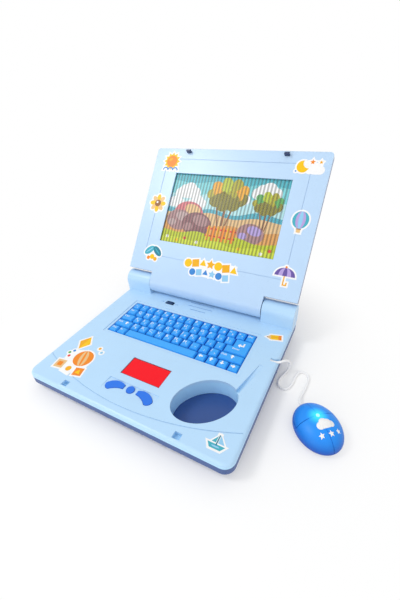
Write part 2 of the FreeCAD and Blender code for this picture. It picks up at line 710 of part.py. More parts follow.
def base_bottom_cover():
    """The dark lower casing: upright band, drawn-in underside, columns and battery box."""
    upright = base_prism(0, BAND_BOTTOM, PARTING_HEIGHT)
    shoulder = tapered(SHOULDER_HEIGHT, SHOULDER_INSET, BAND_BOTTOM, 0)
    sole = tapered(0, UNDERSIDE_INSET, SHOULDER_HEIGHT, SHOULDER_INSET)
    outer = upright.fuse([shoulder, sole])
    room = base_prism(WALL, BAND_BOTTOM, PARTING_HEIGHT + OVERCUT)
    room = room.fuse(tapered(SHOULDER_HEIGHT, SHOULDER_INSET + WALL, BAND_BOTTOM, WALL))
    room = room.fuse(tapered(FLOOR, UNDERSIDE_INSET, SHOULDER_HEIGHT, SHOULDER_INSET + WALL))
    cover = outer.cut(room)
    lip_outer = base_prism(WALL + FIT_GAP, BAND_BOTTOM, PARTING_HEIGHT + LIP_HEIGHT)
    lip_inner = base_prism(WALL + FIT_GAP + LIP_THICKNESS, BAND_BOTTOM - OVERCUT,
                           PARTING_HEIGHT + LIP_HEIGHT + OVERCUT)
    lip = lip_outer.cut(lip_inner)
    notch_room = box(NOTCH_X - GROMMET_LENGTH, HALF_WIDTH, NOTCH_Y - NOTCH_WIDTH / 2 - WALL - FIT_GAP,
                     NOTCH_Y + 1.5 * NOTCH_WIDTH + WALL + FIT_GAP, PARTING_HEIGHT, DECK_HEIGHT)
    pocket_rooms = [latch_pocket(side, LATCH_POCKET_WALL + FIT_GAP, PARTING_HEIGHT, DECK_HEIGHT)
                    for side in (-1, 1)]
    adds = [lip.cut([notch_room] + pocket_rooms), lip_web()]
    cuts = []
    for x, y in BASE_SCREW_PLACES:
        adds.append(column(x, y, COLUMN_RADIUS, 0, COLUMN_TOP))
        cuts.append(column(x, y, SCREW_HEAD_RADIUS + FIT_GAP, -OVERCUT, COUNTERBORE))
        cuts.append(column(x, y, SCREW_RADIUS + FIT_GAP, -OVERCUT, COLUMN_TOP + OVERCUT))
    for x, y in board_post_places():
        adds.append(column(x, y, POST_RADIUS, FLOOR - FIT_GAP, MAIN_BOARD_TOP - BOARD_THICKNESS))
    for x, y in contact_post_places():
        adds.append(column(x, y, POST_RADIUS, FLOOR - FIT_GAP, CONTACT_BOARD_TOP - BOARD_THICKNESS))
    adds.append(cell_box(BOX_WALL, FLOOR - FIT_GAP, BOX_CEILING + BOX_WALL))
    x, y = door_screw_place()
    adds.append(column(x, y, BOSS_RADIUS, FLOOR - FIT_GAP, COLUMN_TOP))
    adds.append(door_tab(BOX_WALL, FLOOR - FIT_GAP, FLOOR + BOX_WALL))
    cuts.append(cell_box(0, -OVERCUT, BOX_CEILING))
    cuts.append(cell_box(DOOR_LAP, -OVERCUT, DOOR_THICKNESS + FIT_GAP))
    cuts.append(door_tab(FIT_GAP, -OVERCUT, DOOR_THICKNESS + FIT_GAP))
    cuts.append(column(x, y, SCREW_RADIUS + PILOT_CLEARANCE, 0, COLUMN_TOP - FIT_GAP))
    return cover.fuse(adds).cut(cuts)


def lip_web():
    """The inner band that joins the locating lip to the wall below the parting line."""
    outer = base_prism(WALL - FIT_GAP, BAND_BOTTOM, PARTING_HEIGHT)
    inner = base_prism(WALL + FIT_GAP + LIP_THICKNESS, BAND_BOTTOM - OVERCUT,
                       PARTING_HEIGHT + OVERCUT)
    return outer.cut(inner)


def countersunk_screw(x, y, z0, length):
    """A screw driven upwards, with a head that tapers into its shank."""
    head = Part.makeCone(SCREW_HEAD_RADIUS, SCREW_RADIUS, DOOR_THICKNESS, Vector(x, y, z0))
    return head.fuse(column(x, y, SCREW_RADIUS, z0 + DOOR_THICKNESS, z0 + length))


def battery_door():
    """The cover of the battery compartment, with cradle ribs and a screw tab."""
    z0 = FIT_GAP / 2
    door = cell_box(DOOR_LAP - FIT_GAP, z0, DOOR_THICKNESS)
    door = door.fuse(door_tab(0, z0, DOOR_THICKNESS))
    for side in (-1, 1):
        y = CELL_Y + side * CELL_LENGTH / 4
        rib = centred_box(CELL_X, y, BOX_WIDTH - 2 * FIT_GAP, 2 * BOX_WALL, DOOR_THICKNESS,
                          DOOR_THICKNESS + DOOR_RIB_HEIGHT)
        door = door.fuse(rib)
    x, y = door_screw_place()
    sink = Part.makeCone(SCREW_HEAD_RADIUS + FIT_GAP, SCREW_RADIUS + FIT_GAP, DOOR_THICKNESS,
                         Vector(x, y, z0))
    return door.cut(sink).cut(column(x, y, SCREW_RADIUS + FIT_GAP, 0, FLOOR))


def battery_door_screw():
    """The screw that holds the battery door shut."""
    x, y = door_screw_place()
    return countersunk_screw(x, y, FIT_GAP / 2, COLUMN_TOP - SCREW_END_ROOM)


def base_screws():
    """The screws that hold the two halves of the base together."""
    screws = []
    for x, y in BASE_SCREW_PLACES:
        head = column(x, y, SCREW_HEAD_RADIUS, COUNTERBORE - SCREW_HEAD_HEIGHT, COUNTERBORE)
        shank = column(x, y, SCREW_RADIUS, COUNTERBORE, DECK_UNDERSIDE - SCREW_END_ROOM)
        screws.append(head.fuse(shank))
    return group(screws)


# The power supply


def cell_places():
    """Middle of each cell along X."""
    first = CELL_X - CELL_PITCH * (CELL_COUNT - 1) / 2
    return [first + i * CELL_PITCH for i in range(CELL_COUNT)]


def batteries():
    """The dry cells, each with its raised end, every second one turned about."""
    cells = []
    tip = CELL_TIP_LENGTH
    for i, x in enumerate(cell_places()):
        turn = 1 if i % 2 else -1
        y0 = CELL_Y - CELL_LENGTH / 2 + (tip if turn < 0 else 0)
        y1 = y0 + CELL_LENGTH - tip
        can = along_y(x, CELL_AXIS_Z, CELL_DIAMETER / 2, y0, y1)
        nub_y = y1 if turn > 0 else y0 - tip
        cells.append(can.fuse(along_y(x, CELL_AXIS_Z, CELL_TIP_RADIUS, nub_y, nub_y + tip)))
    return group(cells)


def battery_contacts():
    """Sprung plates at both ends of each cell."""
    contacts = []
    width = CONTACT_WIDTH
    for x in cell_places():
        for side in (-1, 1):
            wall_y = CELL_Y + side * BOX_LENGTH / 2
            tip_y = CELL_Y + side * (CELL_LENGTH / 2 + CELL_GAP)
            y0, y1 = sorted((wall_y, wall_y - side * CONTACT_THICKNESS))
            plate = centred_box(x, (y0 + y1) / 2, width, y1 - y0, CELL_AXIS_Z - width / 2,
                                CELL_AXIS_Z + width / 2)
            y0, y1 = sorted((wall_y, tip_y))
            contacts.append(plate.fuse(along_y(x, CELL_AXIS_Z, CONTACT_SPRING_RADIUS, y0, y1)))
    return group(contacts)


# The display, the front buttons and the boards


def display_window():
    """The red window, set in from below, with a flange behind the deck."""
    lens = centred_box(0, WINDOW_Y, WINDOW_WIDTH - FIT_GAP, WINDOW_DEPTH - FIT_GAP,
                       WINDOW_BOTTOM, WINDOW_TOP)
    flange = centred_box(0, WINDOW_Y, WINDOW_WIDTH + 2 * WINDOW_FLANGE,
                         WINDOW_DEPTH + 2 * WINDOW_FLANGE, WINDOW_BOTTOM, DECK_UNDERSIDE)
    return lens.fuse(flange)


def display_module():
    """The display behind the window, standing on the main board."""
    return centred_box(0, WINDOW_Y, WINDOW_WIDTH + WINDOW_FLANGE, WINDOW_DEPTH + WINDOW_FLANGE,
                       MAIN_BOARD_TOP, WINDOW_BOTTOM)


def main_circuit_board():
    """The main board on its four posts, with a moulded chip underneath."""
    board = centred_box(0, MAIN_BOARD_Y, MAIN_BOARD_WIDTH, MAIN_BOARD_DEPTH,
                        MAIN_BOARD_TOP - BOARD_THICKNESS, MAIN_BOARD_TOP)
    chip_top = MAIN_BOARD_TOP - BOARD_THICKNESS
    chip = column(0, MAIN_BOARD_Y, 2 * POST_RADIUS, chip_top - POST_RADIUS / 2, chip_top)
    return board.fuse(chip)


def side_button(side):
    """One kidney-shaped button with its retaining flange."""
    cap = kidney_prism(side, 0, BUTTON_FLANGE_BOTTOM, BUTTON_TOP)
    return cap.fuse(kidney_prism(side, BUTTON_FLANGE, BUTTON_FLANGE_BOTTOM, BUTTON_FLANGE_TOP))


def centre_button():
    """The round button with its retaining flange."""
    cap = column(0, BUTTON_Y, BUTTON_RADIUS, BUTTON_FLANGE_BOTTOM, BUTTON_TOP)
    return cap.fuse(column(0, BUTTON_Y, BUTTON_RADIUS + BUTTON_FLANGE, BUTTON_FLANGE_BOTTOM,
                           BUTTON_FLANGE_TOP))


def button_membrane():
    """The rubber sheet under the front buttons, with one pad for each."""
    top = MAIN_BOARD_TOP + SHEET_THICKNESS
    sheet = centred_box(0, BUTTON_Y - MEMBRANE_OFFSET, MEMBRANE_WIDTH, MEMBRANE_DEPTH,
                        MAIN_BOARD_TOP, top)
    pad_x, pad_y = MEMBRANE_PAD
    pad_height = BUTTON_FLANGE_BOTTOM - FIT_GAP - top
    pads = []
    for x, y in ((0, 0), (-pad_x, pad_y), (pad_x, pad_y)):
        pads.append(Part.makeCone(DOME_RADIUS, DOME_RADIUS / 2, pad_height,
                                  Vector(x, BUTTON_Y + y, top)))
    return sheet.fuse(pads)


def speaker():
    """The loudspeaker: a flanged basket with its magnet below."""
    top = DECK_UNDERSIDE
    flange = column(0, SPEAKER_Y, SPEAKER_RADIUS, top - WALL, top)
    magnet_top = top - WALL - SPEAKER_BASKET_HEIGHT
    basket = Part.makeCone(*SPEAKER_BASKET_RADII, SPEAKER_BASKET_HEIGHT,
                           Vector(0, SPEAKER_Y, magnet_top))
    magnet = column(0, SPEAKER_Y, SPEAKER_MAGNET_RADIUS, top - SPEAKER_HEIGHT, magnet_top)
    return flange.fuse([basket, magnet])


def power_switch_knob():
    """The slide switch's knob: nub, flange under the deck and stem."""
    width, depth = SWITCH_NUB
    flange_top = DECK_UNDERSIDE - BUTTON_GAP
    flange_bottom = flange_top - SWITCH_FLANGE[2]
    nub = centred_box(SWITCH_X, SWITCH_Y, width, depth, flange_bottom, DECK_HEIGHT + SWITCH_PROUD)
    flange = centred_box(SWITCH_X, SWITCH_Y, SWITCH_FLANGE[0], SWITCH_FLANGE[1], flange_bottom,
                         flange_top)
    stem = centred_box(SWITCH_X, SWITCH_Y, SWITCH_STEM[0], SWITCH_STEM[1],
                       flange_bottom - SWITCH_BODY[2] / 2, flange_bottom)
    return nub.fuse([flange, stem])


def power_switch_body():
    """The slide switch's housing, with a slot for the knob's stem and two ears."""
    top = DECK_UNDERSIDE - BUTTON_GAP - SWITCH_FLANGE[2] - BUTTON_GAP
    bottom = top - SWITCH_BODY[2] - WALL
    housing = centred_box(SWITCH_X, SWITCH_Y, SWITCH_BODY[0], SWITCH_BODY[1], bottom, top)
    slot = centred_box(SWITCH_X, SWITCH_Y, SWITCH_STEM[0] + 2 * SWITCH_TRAVEL + 2 * FIT_GAP,
                       SWITCH_STEM[1] + 2 * FIT_GAP, top - SWITCH_BODY[2] / 2 - FIT_GAP, top)
    ear_top = switch_ear_top()
    ear_reach = SWITCH_FLANGE[0] + 2 * SWITCH_TRAVEL + 4 * POST_RADIUS
    ears = centred_box(SWITCH_X, SWITCH_Y, ear_reach, SWITCH_BODY[1], ear_top - WALL / 2, ear_top)
    return housing.fuse(ears).cut(slot)


# The keyboard


def key_plan():
    """Every key but enter as name, left edge, right edge and row, in key pitches."""
    last = KEYBOARD_PITCHES
    number_end = sum(NUMBER_KEYS) * LETTER_SHARE
    lower_end = SHIFT_SHARE + sum(LOWER_LETTER_KEYS) * LOWER_LETTER_SHARE
    arrows = ("arrow_left_key", "arrow_up_key", "arrow_down_key", "arrow_right_key")
    arrow_start = last - len(arrows) * CORNER_SHARE
    plan = run_of_keys("number_keys", 0, NUMBER_KEYS, LETTER_SHARE, 4)
    plan.append(("backspace_key", number_end, last, 4))
    plan.append(("tab_key", 0, TAB_SHARE, 3))
    plan += run_of_keys("upper_letter_keys", TAB_SHARE, UPPER_LETTER_KEYS, LETTER_SHARE, 3)
    plan.append(("caps_key", 0, CAPS_SHARE, 2))
    plan += run_of_keys("middle_letter_keys", CAPS_SHARE, MIDDLE_LETTER_KEYS, LETTER_SHARE, 2)
    plan.append(("left_shift_key", 0, SHIFT_SHARE, 1))
    plan += run_of_keys("lower_letter_keys", SHIFT_SHARE, LOWER_LETTER_KEYS, LOWER_LETTER_SHARE, 1)
    plan.append(("right_shift_key", lower_end, last, 1))
    plan.append(("control_key", 0, CORNER_SHARE, 0))
    plan.append(("function_key", CORNER_SHARE, 2 * CORNER_SHARE, 0))
    plan.append(("space_bar", 2 * CORNER_SHARE, arrow_start, 0))
    for i, name in enumerate(arrows):
        left = arrow_start + i * CORNER_SHARE
        plan.append((name, left, left + CORNER_SHARE, 0))
    return plan


def run_of_keys(name, start, counts, width, row):
    """Equal keys side by side in one row, in a left and a right group."""
    left_count, right_count = counts
    keys = []
    for i in range(left_count + right_count):
        side = "_left" if i < left_count else "_right"
        keys.append((name + side, start + i * width, start + (i + 1) * width, row))
    return keys


def key_box(left, right, row, rows=1):
    """A key's plan in millimetres: x0, x1, y0, y1."""
    x = -KEYBOARD_WIDTH / 2
    gap = KEY_GAP / 2
    return (x + left * KEY_PITCH + gap, x + right * KEY_PITCH - gap,
            KEYBOARD_Y0 + row * ROW_PITCH + gap, KEYBOARD_Y0 + (row + rows) * ROW_PITCH - gap)


def stem_places(x0, x1, y0, y1):
    """One stem under a key, or two under a long one."""
    y = (y0 + y1) / 2
    if x1 - x0 > 4 * KEY_PITCH:
        return [(x0 + KEY_PITCH, y), (x1 - KEY_PITCH, y)]
    return [((x0 + x1) / 2, y)]


def enter_boxes():
    """The plan of the enter key's foot and of its upright part."""
    foot_left = CAPS_SHARE + sum(MIDDLE_LETTER_KEYS) * LETTER_SHARE
    upright_left = TAB_SHARE + sum(UPPER_LETTER_KEYS) * LETTER_SHARE
    foot = key_box(foot_left, KEYBOARD_PITCHES, 2)
    upright = key_box(upright_left, KEYBOARD_PITCHES, 2, 2)
    return foot, upright


def all_stem_places():
    """Every key stem in plan."""
    places = []
    for name, left, right, row in key_plan():
        places += stem_places(*key_box(left, right, row))
    return places + stem_places(*enter_boxes()[1])


def key_stem(x, y):
    """A key's stem with the collar that stops it under the tray."""
    stem = centred_box(x, y, KEY_STEM, KEY_STEM, STEM_BOTTOM, KEY_BOTTOM + FIT_GAP)
    return stem.fuse(centred_box(x, y, KEY_COLLAR, KEY_COLLAR, COLLAR_BOTTOM, COLLAR_TOP))


def key(x0, x1, y0, y1):
    """One key: a cap with leaning sides on one or two stems."""
    cap = frustum(x0, x1, y0, y1, KEY_BOTTOM, KEY_TOP, KEY_TAPER)
    return cap.fuse([key_stem(x, y) for x, y in stem_places(x0, x1, y0, y1)])


def enter_key():
    """The tall enter key, wider at its foot."""
    foot, upright = enter_boxes()
    cap = frustum(*foot, KEY_BOTTOM, KEY_TOP, KEY_TAPER)
    cap = cap.fuse(frustum(*upright, KEY_BOTTOM, KEY_TOP, KEY_TAPER))
    return cap.fuse([key_stem(x, y) for x, y in stem_places(*upright)])


def keys_by_name():
    """The keys grouped under their names."""
    named = {}
    for name, left, right, row in key_plan():
        named.setdefault(name, []).append(key(*key_box(left, right, row)))
    return named


def keyboard_tray():
    """The blue tray that guides the keys, with a hole for each stem."""
    tray = keyboard_block(TRAY_BORDER, TRAY_FLOOR_BOTTOM, TRAY_TOP)
    tray = tray.cut(keyboard_block(FIT_GAP, TRAY_FLOOR_TOP, TRAY_TOP + OVERCUT))
    hole = KEY_STEM + 2 * STEM_CLEARANCE
    holes = [centred_box(x, y, hole, hole, TRAY_FLOOR_BOTTOM - OVERCUT, TRAY_FLOOR_TOP + OVERCUT)
             for x, y in all_stem_places()]
    return tray.cut(holes)


def keyboard_dome_sheet():
    """The rubber sheet of domes under the stems."""
    sheet = keyboard_block(0, CONTACT_BOARD_TOP, SHEET_TOP)
    domes = [Part.makeCone(DOME_RADIUS, DOME_RADIUS * 0.7, DOME_HEIGHT, Vector(x, y, SHEET_TOP))
             for x, y in all_stem_places()]
    return sheet.fuse(domes)


def keyboard_contact_board():
    """The contact board under the rubber sheet."""
    return keyboard_block(TRAY_BORDER, CONTACT_BOARD_TOP - BOARD_THICKNESS, CONTACT_BOARD_TOP)


# The lid, modelled closed and then opened


def lid_outline(inset, z):
    """The lid's plan, drawn in by inset, without its barrel."""
    x = HALF_WIDTH - inset
    front = max(LID_CORNER_RADIUS - inset, SMALLEST_CORNER)
    y0 = LID_FRONT_Y + inset
    y1 = LID_REAR_Y - inset
    small = SMALLEST_CORNER
    return rounded_wire([(-x, y0, front), (x, y0, front), (x, y1, small), (-x, y1, small)], z)


def lid_prism(inset, z0, z1):
    """The lid's plan as an upright solid."""
    return prism(lid_outline(inset, z0), z1 - z0)


def screen_box(grow, z0, z1):
    """A block over the screen's plan, grown all round."""
    y1 = HINGE_Y - SCREEN_FROM_HINGE
    return box(-SCREEN_WIDTH / 2 - grow, SCREEN_WIDTH / 2 + grow, y1 - SCREEN_HEIGHT - grow,
               y1 + grow, z0, z1)


def lid_screw_positions():
    """The lid's screws in plan, from places given by their distance from the hinge."""
    return [(x, HINGE_Y - distance) for x, distance in LID_SCREW_PLACES]


def lid_front_cover():
    """The lid's inner face with the screen's opening, and the hinge barrel."""
    cover = lid_prism(0, LID_INNER_Z, LID_SPLIT_Z)
    cover = cover.cut(lid_prism(LID_WALL, LID_INNER_Z + LID_WALL, LID_SPLIT_Z + OVERCUT))
    web_y0 = LID_REAR_Y - LID_WALL
    web = box(-BARREL_HALF, BARREL_HALF, web_y0, HINGE_Y, LID_INNER_Z, LID_OUTER_Z - LID_WALL)
    barrel = along_x(HINGE_Y, HINGE_Z, BARREL_RADIUS, -BARREL_HALF, BARREL_HALF)
    room_half = BARREL_HALF - PIN_LENGTH / 2 - PIN_BUSH_WALL
    room = along_x(HINGE_Y, HINGE_Z, BARREL_RADIUS - LID_WALL, -room_half, room_half)
    bores = []
    for side in (-1, 1):
        x0, x1 = sorted((side * (BARREL_HALF - PIN_LENGTH / 2), side * (BARREL_HALF + OVERCUT)))
        bores.append(along_x(HINGE_Y, HINGE_Z, PIN_RADIUS + PIN_RUNNING_CLEARANCE, x0, x1))
    cover = cover.fuse([web, barrel])
    posts = []
    for x, y in lid_screw_positions():
        posts.append(column(x, y, BOSS_RADIUS, LID_INNER_Z + LID_WALL / 2, LID_SPLIT_Z))
    cover = cover.fuse(posts + hook_seats())
    cuts = [room, screen_box(0, LID_INNER_Z - OVERCUT, LID_SPLIT_Z), lid_frame_line()]
    for x, y in lid_screw_positions():
        cuts.append(column(x, y, SCREW_RADIUS + PILOT_CLEARANCE, LID_INNER_Z + LID_WALL / 2,
                           LID_SPLIT_Z + OVERCUT))
    for side in (-1, 1):
        cuts.append(hook_stem(side, FIT_GAP / 2, LID_INNER_Z - OVERCUT, LID_SPLIT_Z))
    return open_lid(cover.cut(bores + cuts))


def lid_back_cover():
    """The lid's outer shell, with rounded edges and screw columns."""
    outer = lid_prism(0, LID_SPLIT_Z, LID_OUTER_Z)
    web = box(-BARREL_HALF, BARREL_HALF, LID_REAR_Y - SMALLEST_CORNER, LID_REAR_Y, LID_SPLIT_Z,
              LID_OUTER_Z)
    rim = [e for e in outer.Edges if min(v.Z for v in e.Vertexes) > LID_OUTER_Z - SMALLEST_CORNER]
    outer = outer.makeFillet(LID_EDGE_RADIUS, rim)
    cover = outer.cut(lid_prism(LID_WALL, LID_SPLIT_Z - OVERCUT, LID_OUTER_Z - LID_WALL))
    web_room = box(-BARREL_HALF - FIT_GAP, BARREL_HALF + FIT_GAP, LID_REAR_Y - LID_WALL - FIT_GAP,
                   LID_REAR_Y + OVERCUT, LID_SPLIT_Z - OVERCUT, LID_OUTER_Z - LID_WALL + FIT_GAP / 2)
    barrel_room = along_x(HINGE_Y, HINGE_Z, BARREL_RADIUS + FIT_GAP, -BARREL_HALF - FIT_GAP,
                          BARREL_HALF + FIT_GAP)
    cover = cover.fuse(web).cut([web_room, barrel_room])
    for x, y in lid_screw_positions():
        cover = cover.fuse(column(x, y, COLUMN_RADIUS, LID_SPLIT_Z, LID_OUTER_Z - LID_WALL / 2))
        cover = cover.cut([column(x, y, SCREW_RADIUS + FIT_GAP, LID_SPLIT_Z - OVERCUT, LID_OUTER_Z),
                           column(x, y, SCREW_HEAD_RADIUS + FIT_GAP, LID_OUTER_Z - COUNTERBORE,
                                  LID_OUTER_Z + OVERCUT)])
    return open_lid(cover)


def lid_screws():
    """The screws that hold the lid's two shells together."""
    screws = []
    for x, y in lid_screw_positions():
        head_z = LID_OUTER_Z - COUNTERBORE
        head = column(x, y, SCREW_HEAD_RADIUS, head_z, head_z + SCREW_HEAD_HEIGHT)
        shank = column(x, y, SCREW_RADIUS, LID_INNER_Z + LID_WALL, head_z)
        screws.append(head.fuse(shank))
    return open_lid(group(screws))


def lenticular_sheet():
    """The ribbed clear sheet behind the screen's opening, its ribs running up the screen."""
    half = SCREEN_WIDTH / 2 + SCREEN_OVERLAP
    z_face = LID_INNER_Z + LID_WALL
    z_back = z_face + LENS_THICKNESS
    count = int(SCREEN_WIDTH / LENS_RIB_PITCH)
    start = -count * LENS_RIB_PITCH / 2
    points = [Vector(-half, 0, z_back), Vector(-half, 0, z_face), Vector(start, 0, z_face)]
    for i in range(count):
        x = start + i * LENS_RIB_PITCH
        points.append(Vector(x + LENS_RIB_PITCH / 2, 0, z_face - LENS_RIB_DEPTH))
        points.append(Vector(x + LENS_RIB_PITCH, 0, z_face))
    points += [Vector(half, 0, z_face), Vector(half, 0, z_back)]
    y1 = HINGE_Y - SCREEN_FROM_HINGE
    ribbed = polygon(points).extrude(Vector(0, SCREEN_HEIGHT - 2 * FIT_GAP, 0))
    ribbed.translate(Vector(0, y1 - SCREEN_HEIGHT + FIT_GAP, 0))
    sheet = screen_box(SCREEN_OVERLAP, z_face, z_back)
    return open_lid(ribbed.fuse(sheet))


def picture_card():
    """The printed card behind the ribbed sheet."""
    z0 = LID_INNER_Z + LID_WALL + LENS_THICKNESS
    return open_lid(screen_box(SCREEN_OVERLAP, z0, z0 + CARD_THICKNESS))


def hook_stem(side, grow, z0, z1):
    """The upright part of a latch hook in plan."""
    return centred_box(side * LATCH_SPACING / 2, LATCH_Y, HOOK_WIDTH + 2 * grow,
                       HOOK_THICKNESS + 2 * grow, z0, z1)


def hook_seats():
    """Thick places inside the lid that hold the latch hooks."""
    seats = []
    for side in (-1, 1):
        seats.append(hook_stem(side, LID_WALL, LID_INNER_Z + LID_WALL / 2, LID_SPLIT_Z))
    return seats


def latch_hooks():
    """The two dark hooks near the lid's free edge."""
    hooks = []
    tip = LID_INNER_Z - HOOK_REACH
    barb_top = tip + 2 * HOOK_BARB
    for side in (-1, 1):
        stem = hook_stem(side, 0, tip, LID_SPLIT_Z)
        x0 = side * LATCH_SPACING / 2 - HOOK_WIDTH / 2
        y0 = LATCH_Y - HOOK_THICKNESS / 2
        barb = polygon([Vector(x0, y0, tip), Vector(x0, y0 - HOOK_BARB, barb_top - HOOK_BARB / 2),
                        Vector(x0, y0 - HOOK_BARB, barb_top), Vector(x0, y0, barb_top)])
        hooks.append(stem.fuse(barb.extrude(Vector(HOOK_WIDTH, 0, 0))))
    return open_lid(group(hooks))


def hinge_pin(side):
    """One hinge pin, half in the base's knuckle and half in the lid's barrel."""
    middle = side * (KNUCKLE_INNER_X + BARREL_HALF) / 2
    return along_x(HINGE_Y, HINGE_Z, PIN_RADIUS, middle - PIN_LENGTH / 2, middle + PIN_LENGTH / 2)


# The mouse, modelled about its own middle with its nose at +X


def egg(shrink):
    """The mouse's round form, drawn in all round by shrink."""
    ball = Part.makeSphere(1.0)
    scale = FreeCAD.Matrix()
    scale.scale(MOUSE_LENGTH / 2 - shrink, MOUSE_WIDTH / 2 - shrink, MOUSE_CROWN - shrink)
    upper = ball.transformGeometry(scale)
    scale = FreeCAD.Matrix()
    scale.scale(MOUSE_LENGTH / 2 - shrink, MOUSE_WIDTH / 2 - shrink, MOUSE_BELLY - shrink)
    lower = ball.transformGeometry(scale)
    size = MOUSE_LENGTH
    upper = upper.common(box(-size, size, -size, size, 0, size))
    lower = lower.common(box(-size, size, -size, size, -size, 0))
    for half in (upper, lower):
        half.translate(Vector(0, 0, MOUSE_EQUATOR))
    return upper, lower


def mouse_shells():
    """The upper shell, the lower shell and the two buttons, cut from one hollow form."""
    size = MOUSE_LENGTH
    upper, lower = egg(0)
    inner_upper, inner_lower = egg(MOUSE_WALL)
    crown = upper.cut(inner_upper)
    belly = lower.cut(inner_lower)
    under = box(-size, size, -size, size, -size, 0)
    belly = belly.cut(under)
    sole = lower.common(box(-size, size, -size, size, 0, MOUSE_WALL))
    lower_shell = belly.common(box(-size, size, -size, size, 0, MOUSE_PARTING)).fuse(sole)
    skirt = belly.common(box(-size, size, -size, size, MOUSE_PARTING + FIT_GAP, size))
    front = box(BUTTON_SEAM, size, -size, size, BUTTON_SKIRT - BUTTON_SKIRT_GAP, size)
    upper_shell = crown.fuse(skirt).cut(front)
    buttons = []
    light = column(BUTTON_SEAM, 0, LIGHT_RADIUS + SEAM_GAP, 0, size)
    for side in (-1, 1):
        y0, y1 = sorted((side * SEAM_GAP / 2, side * size))
        half = box(BUTTON_SEAM + SEAM_GAP, size, y0, y1, BUTTON_SKIRT, size)
        buttons.append(crown.common(half).fuse(button_plunger(side)).cut(light))
    upper_shell = upper_shell.cut(column(BUTTON_SEAM, 0, LIGHT_RADIUS + LIGHT_GAP, 0, size))
    groove = box(-size, BUTTON_SEAM, -SEAM_GAP / 2, SEAM_GAP / 2, 0, size)
    shallow = upper.cut(egg(LINE_DEPTH)[0])
    upper_shell = upper_shell.cut(groove.common(shallow))
    return upper_shell, lower_shell, buttons


def relief_seat():
    """The round opening in the mouse's nose for the cord's strain relief."""
    return along_x(0, MOUSE_CORD_HEIGHT, RELIEF_RADIUS + PIN_RUNNING_CLEARANCE,
                   MOUSE_LENGTH / 2 - RELIEF_INSIDE - OVERCUT, MOUSE_LENGTH)


def mouse_strain_relief():
    """The tapered boot in the mouse's nose, from the inside out."""
    x0 = MOUSE_LENGTH / 2 - RELIEF_INSIDE
    return Part.makeCone(RELIEF_RADIUS, CORD_RADIUS + FIT_GAP, RELIEF_LENGTH,
                         Vector(x0, 0, MOUSE_CORD_HEIGHT), Vector(1, 0, 0))


def relief_tip():
    """Where the cord meets the mouse's strain relief, and the way it points."""
    x = MOUSE_LENGTH / 2 - RELIEF_INSIDE + RELIEF_LENGTH
    turn = math.radians(MOUSE_ANGLE)
    way = Vector(math.cos(turn), math.sin(turn), 0)
    return Vector(MOUSE_X, MOUSE_Y, MOUSE_CORD_HEIGHT) + way * x, way


def mouse_circuit_board():
    """The mouse's board on two posts, with a lamp and a switch under each button."""
    x0, x1, width = MOUSE_BOARD
    z0 = MOUSE_BOARD_HEIGHT
    switch_x, switch_y, switch_size, switch_height = MOUSE_SWITCH
    board = box(x0, x1, -width / 2, width / 2, z0, z0 + MOUSE_BOARD_THICKNESS)
    parts = []
    for side in (-1, 1):
        parts.append(centred_box(switch_x, side * switch_y, switch_size, switch_size, z0,
                                 z0 + switch_height))
        parts.append(column(0, side * switch_y, MOUSE_BOARD_POST, MOUSE_WALL, z0))
    lamp = column(BUTTON_SEAM, 0, LIGHT_RADIUS, z0, z0 + MOUSE_LAMP_HEIGHT)
    return board.fuse(parts + [lamp])


def button_plunger(side):
    """The post under a mouse button that reaches for its switch."""
    switch_x, switch_y, switch_size, switch_height = MOUSE_SWITCH
    z0 = MOUSE_BOARD_HEIGHT + switch_height + PLUNGER_GAP
    post = centred_box(switch_x, side * switch_y, PLUNGER_WIDTH, PLUNGER_WIDTH, z0, MOUSE_LENGTH)
    return post.common(egg(MOUSE_WALL / 2)[0])


def mouse_light_guide():
    """The clear rod that brings the light to the mouse's back."""
    z0 = MOUSE_BOARD_HEIGHT + MOUSE_LAMP_HEIGHT
    along = BUTTON_SEAM * 2 / MOUSE_LENGTH
    top = MOUSE_EQUATOR + MOUSE_CROWN * math.sqrt(1 - along ** 2)
    rod = column(BUTTON_SEAM, 0, LIGHT_RADIUS, z0, top)
    cap = Part.makeSphere(LIGHT_RADIUS, Vector(0, 0, 0), Vector(0, 0, 1), 0, 90)
    flatten = FreeCAD.Matrix()
    flatten.scale(1, 1, LIGHT_PROUD / LIGHT_RADIUS)
    cap = cap.transformGeometry(flatten)
    cap.translate(Vector(BUTTON_SEAM, 0, top))
    return rod.fuse(cap)


def mouse_screw():
    """The screw under the mouse that holds its shells together."""
    seat = MOUSE_WALL - 2 * FIT_GAP
    head = column(MOUSE_SCREW_X, 0, SCREW_HEAD_RADIUS, FIT_GAP, seat)
    return head.fuse(column(MOUSE_SCREW_X, 0, SCREW_RADIUS, seat, MOUSE_EQUATOR))


# The cord


def cord_points():
    """The cord's route, from the grommet to the mouse's strain relief."""
    start = Vector(NOTCH_X + GROMMET_PROUD, NOTCH_Y, CORD_EXIT_Z)
    end, way = relief_tip()
    approach = end + way * CORD_APPROACH
    return [start] + [Vector(*p) for p in CORD_ROUTE] + [approach, end]


def cord_path(points):
    """Straight runs joined by tangent arcs, with each arc's radius."""
    edges = []
    radii = []
    here = points[0]
    for before, corner, after in zip(points, points[1:], points[2:]):
        back = before - corner
        ahead = after - corner
        reach = CORD_ARC_SHARE * min(back.Length, ahead.Length)
        back.normalize()
        ahead.normalize()
        turn = math.pi - back.getAngle(ahead)
        radius = reach / math.tan(turn / 2)
        radii.append(radius)
        start = corner + back * reach
        end = corner + ahead * reach
        middle_way = back + ahead
        middle_way.normalize()
        sag = radius / math.cos(turn / 2) - radius
        edges.append(Part.LineSegment(here, start).toShape())
        edges.append(Part.Arc(start, corner + middle_way * sag, end).toShape())
        here = end
    edges.append(Part.LineSegment(here, points[-1]).toShape())
    return Part.Wire(edges), radii


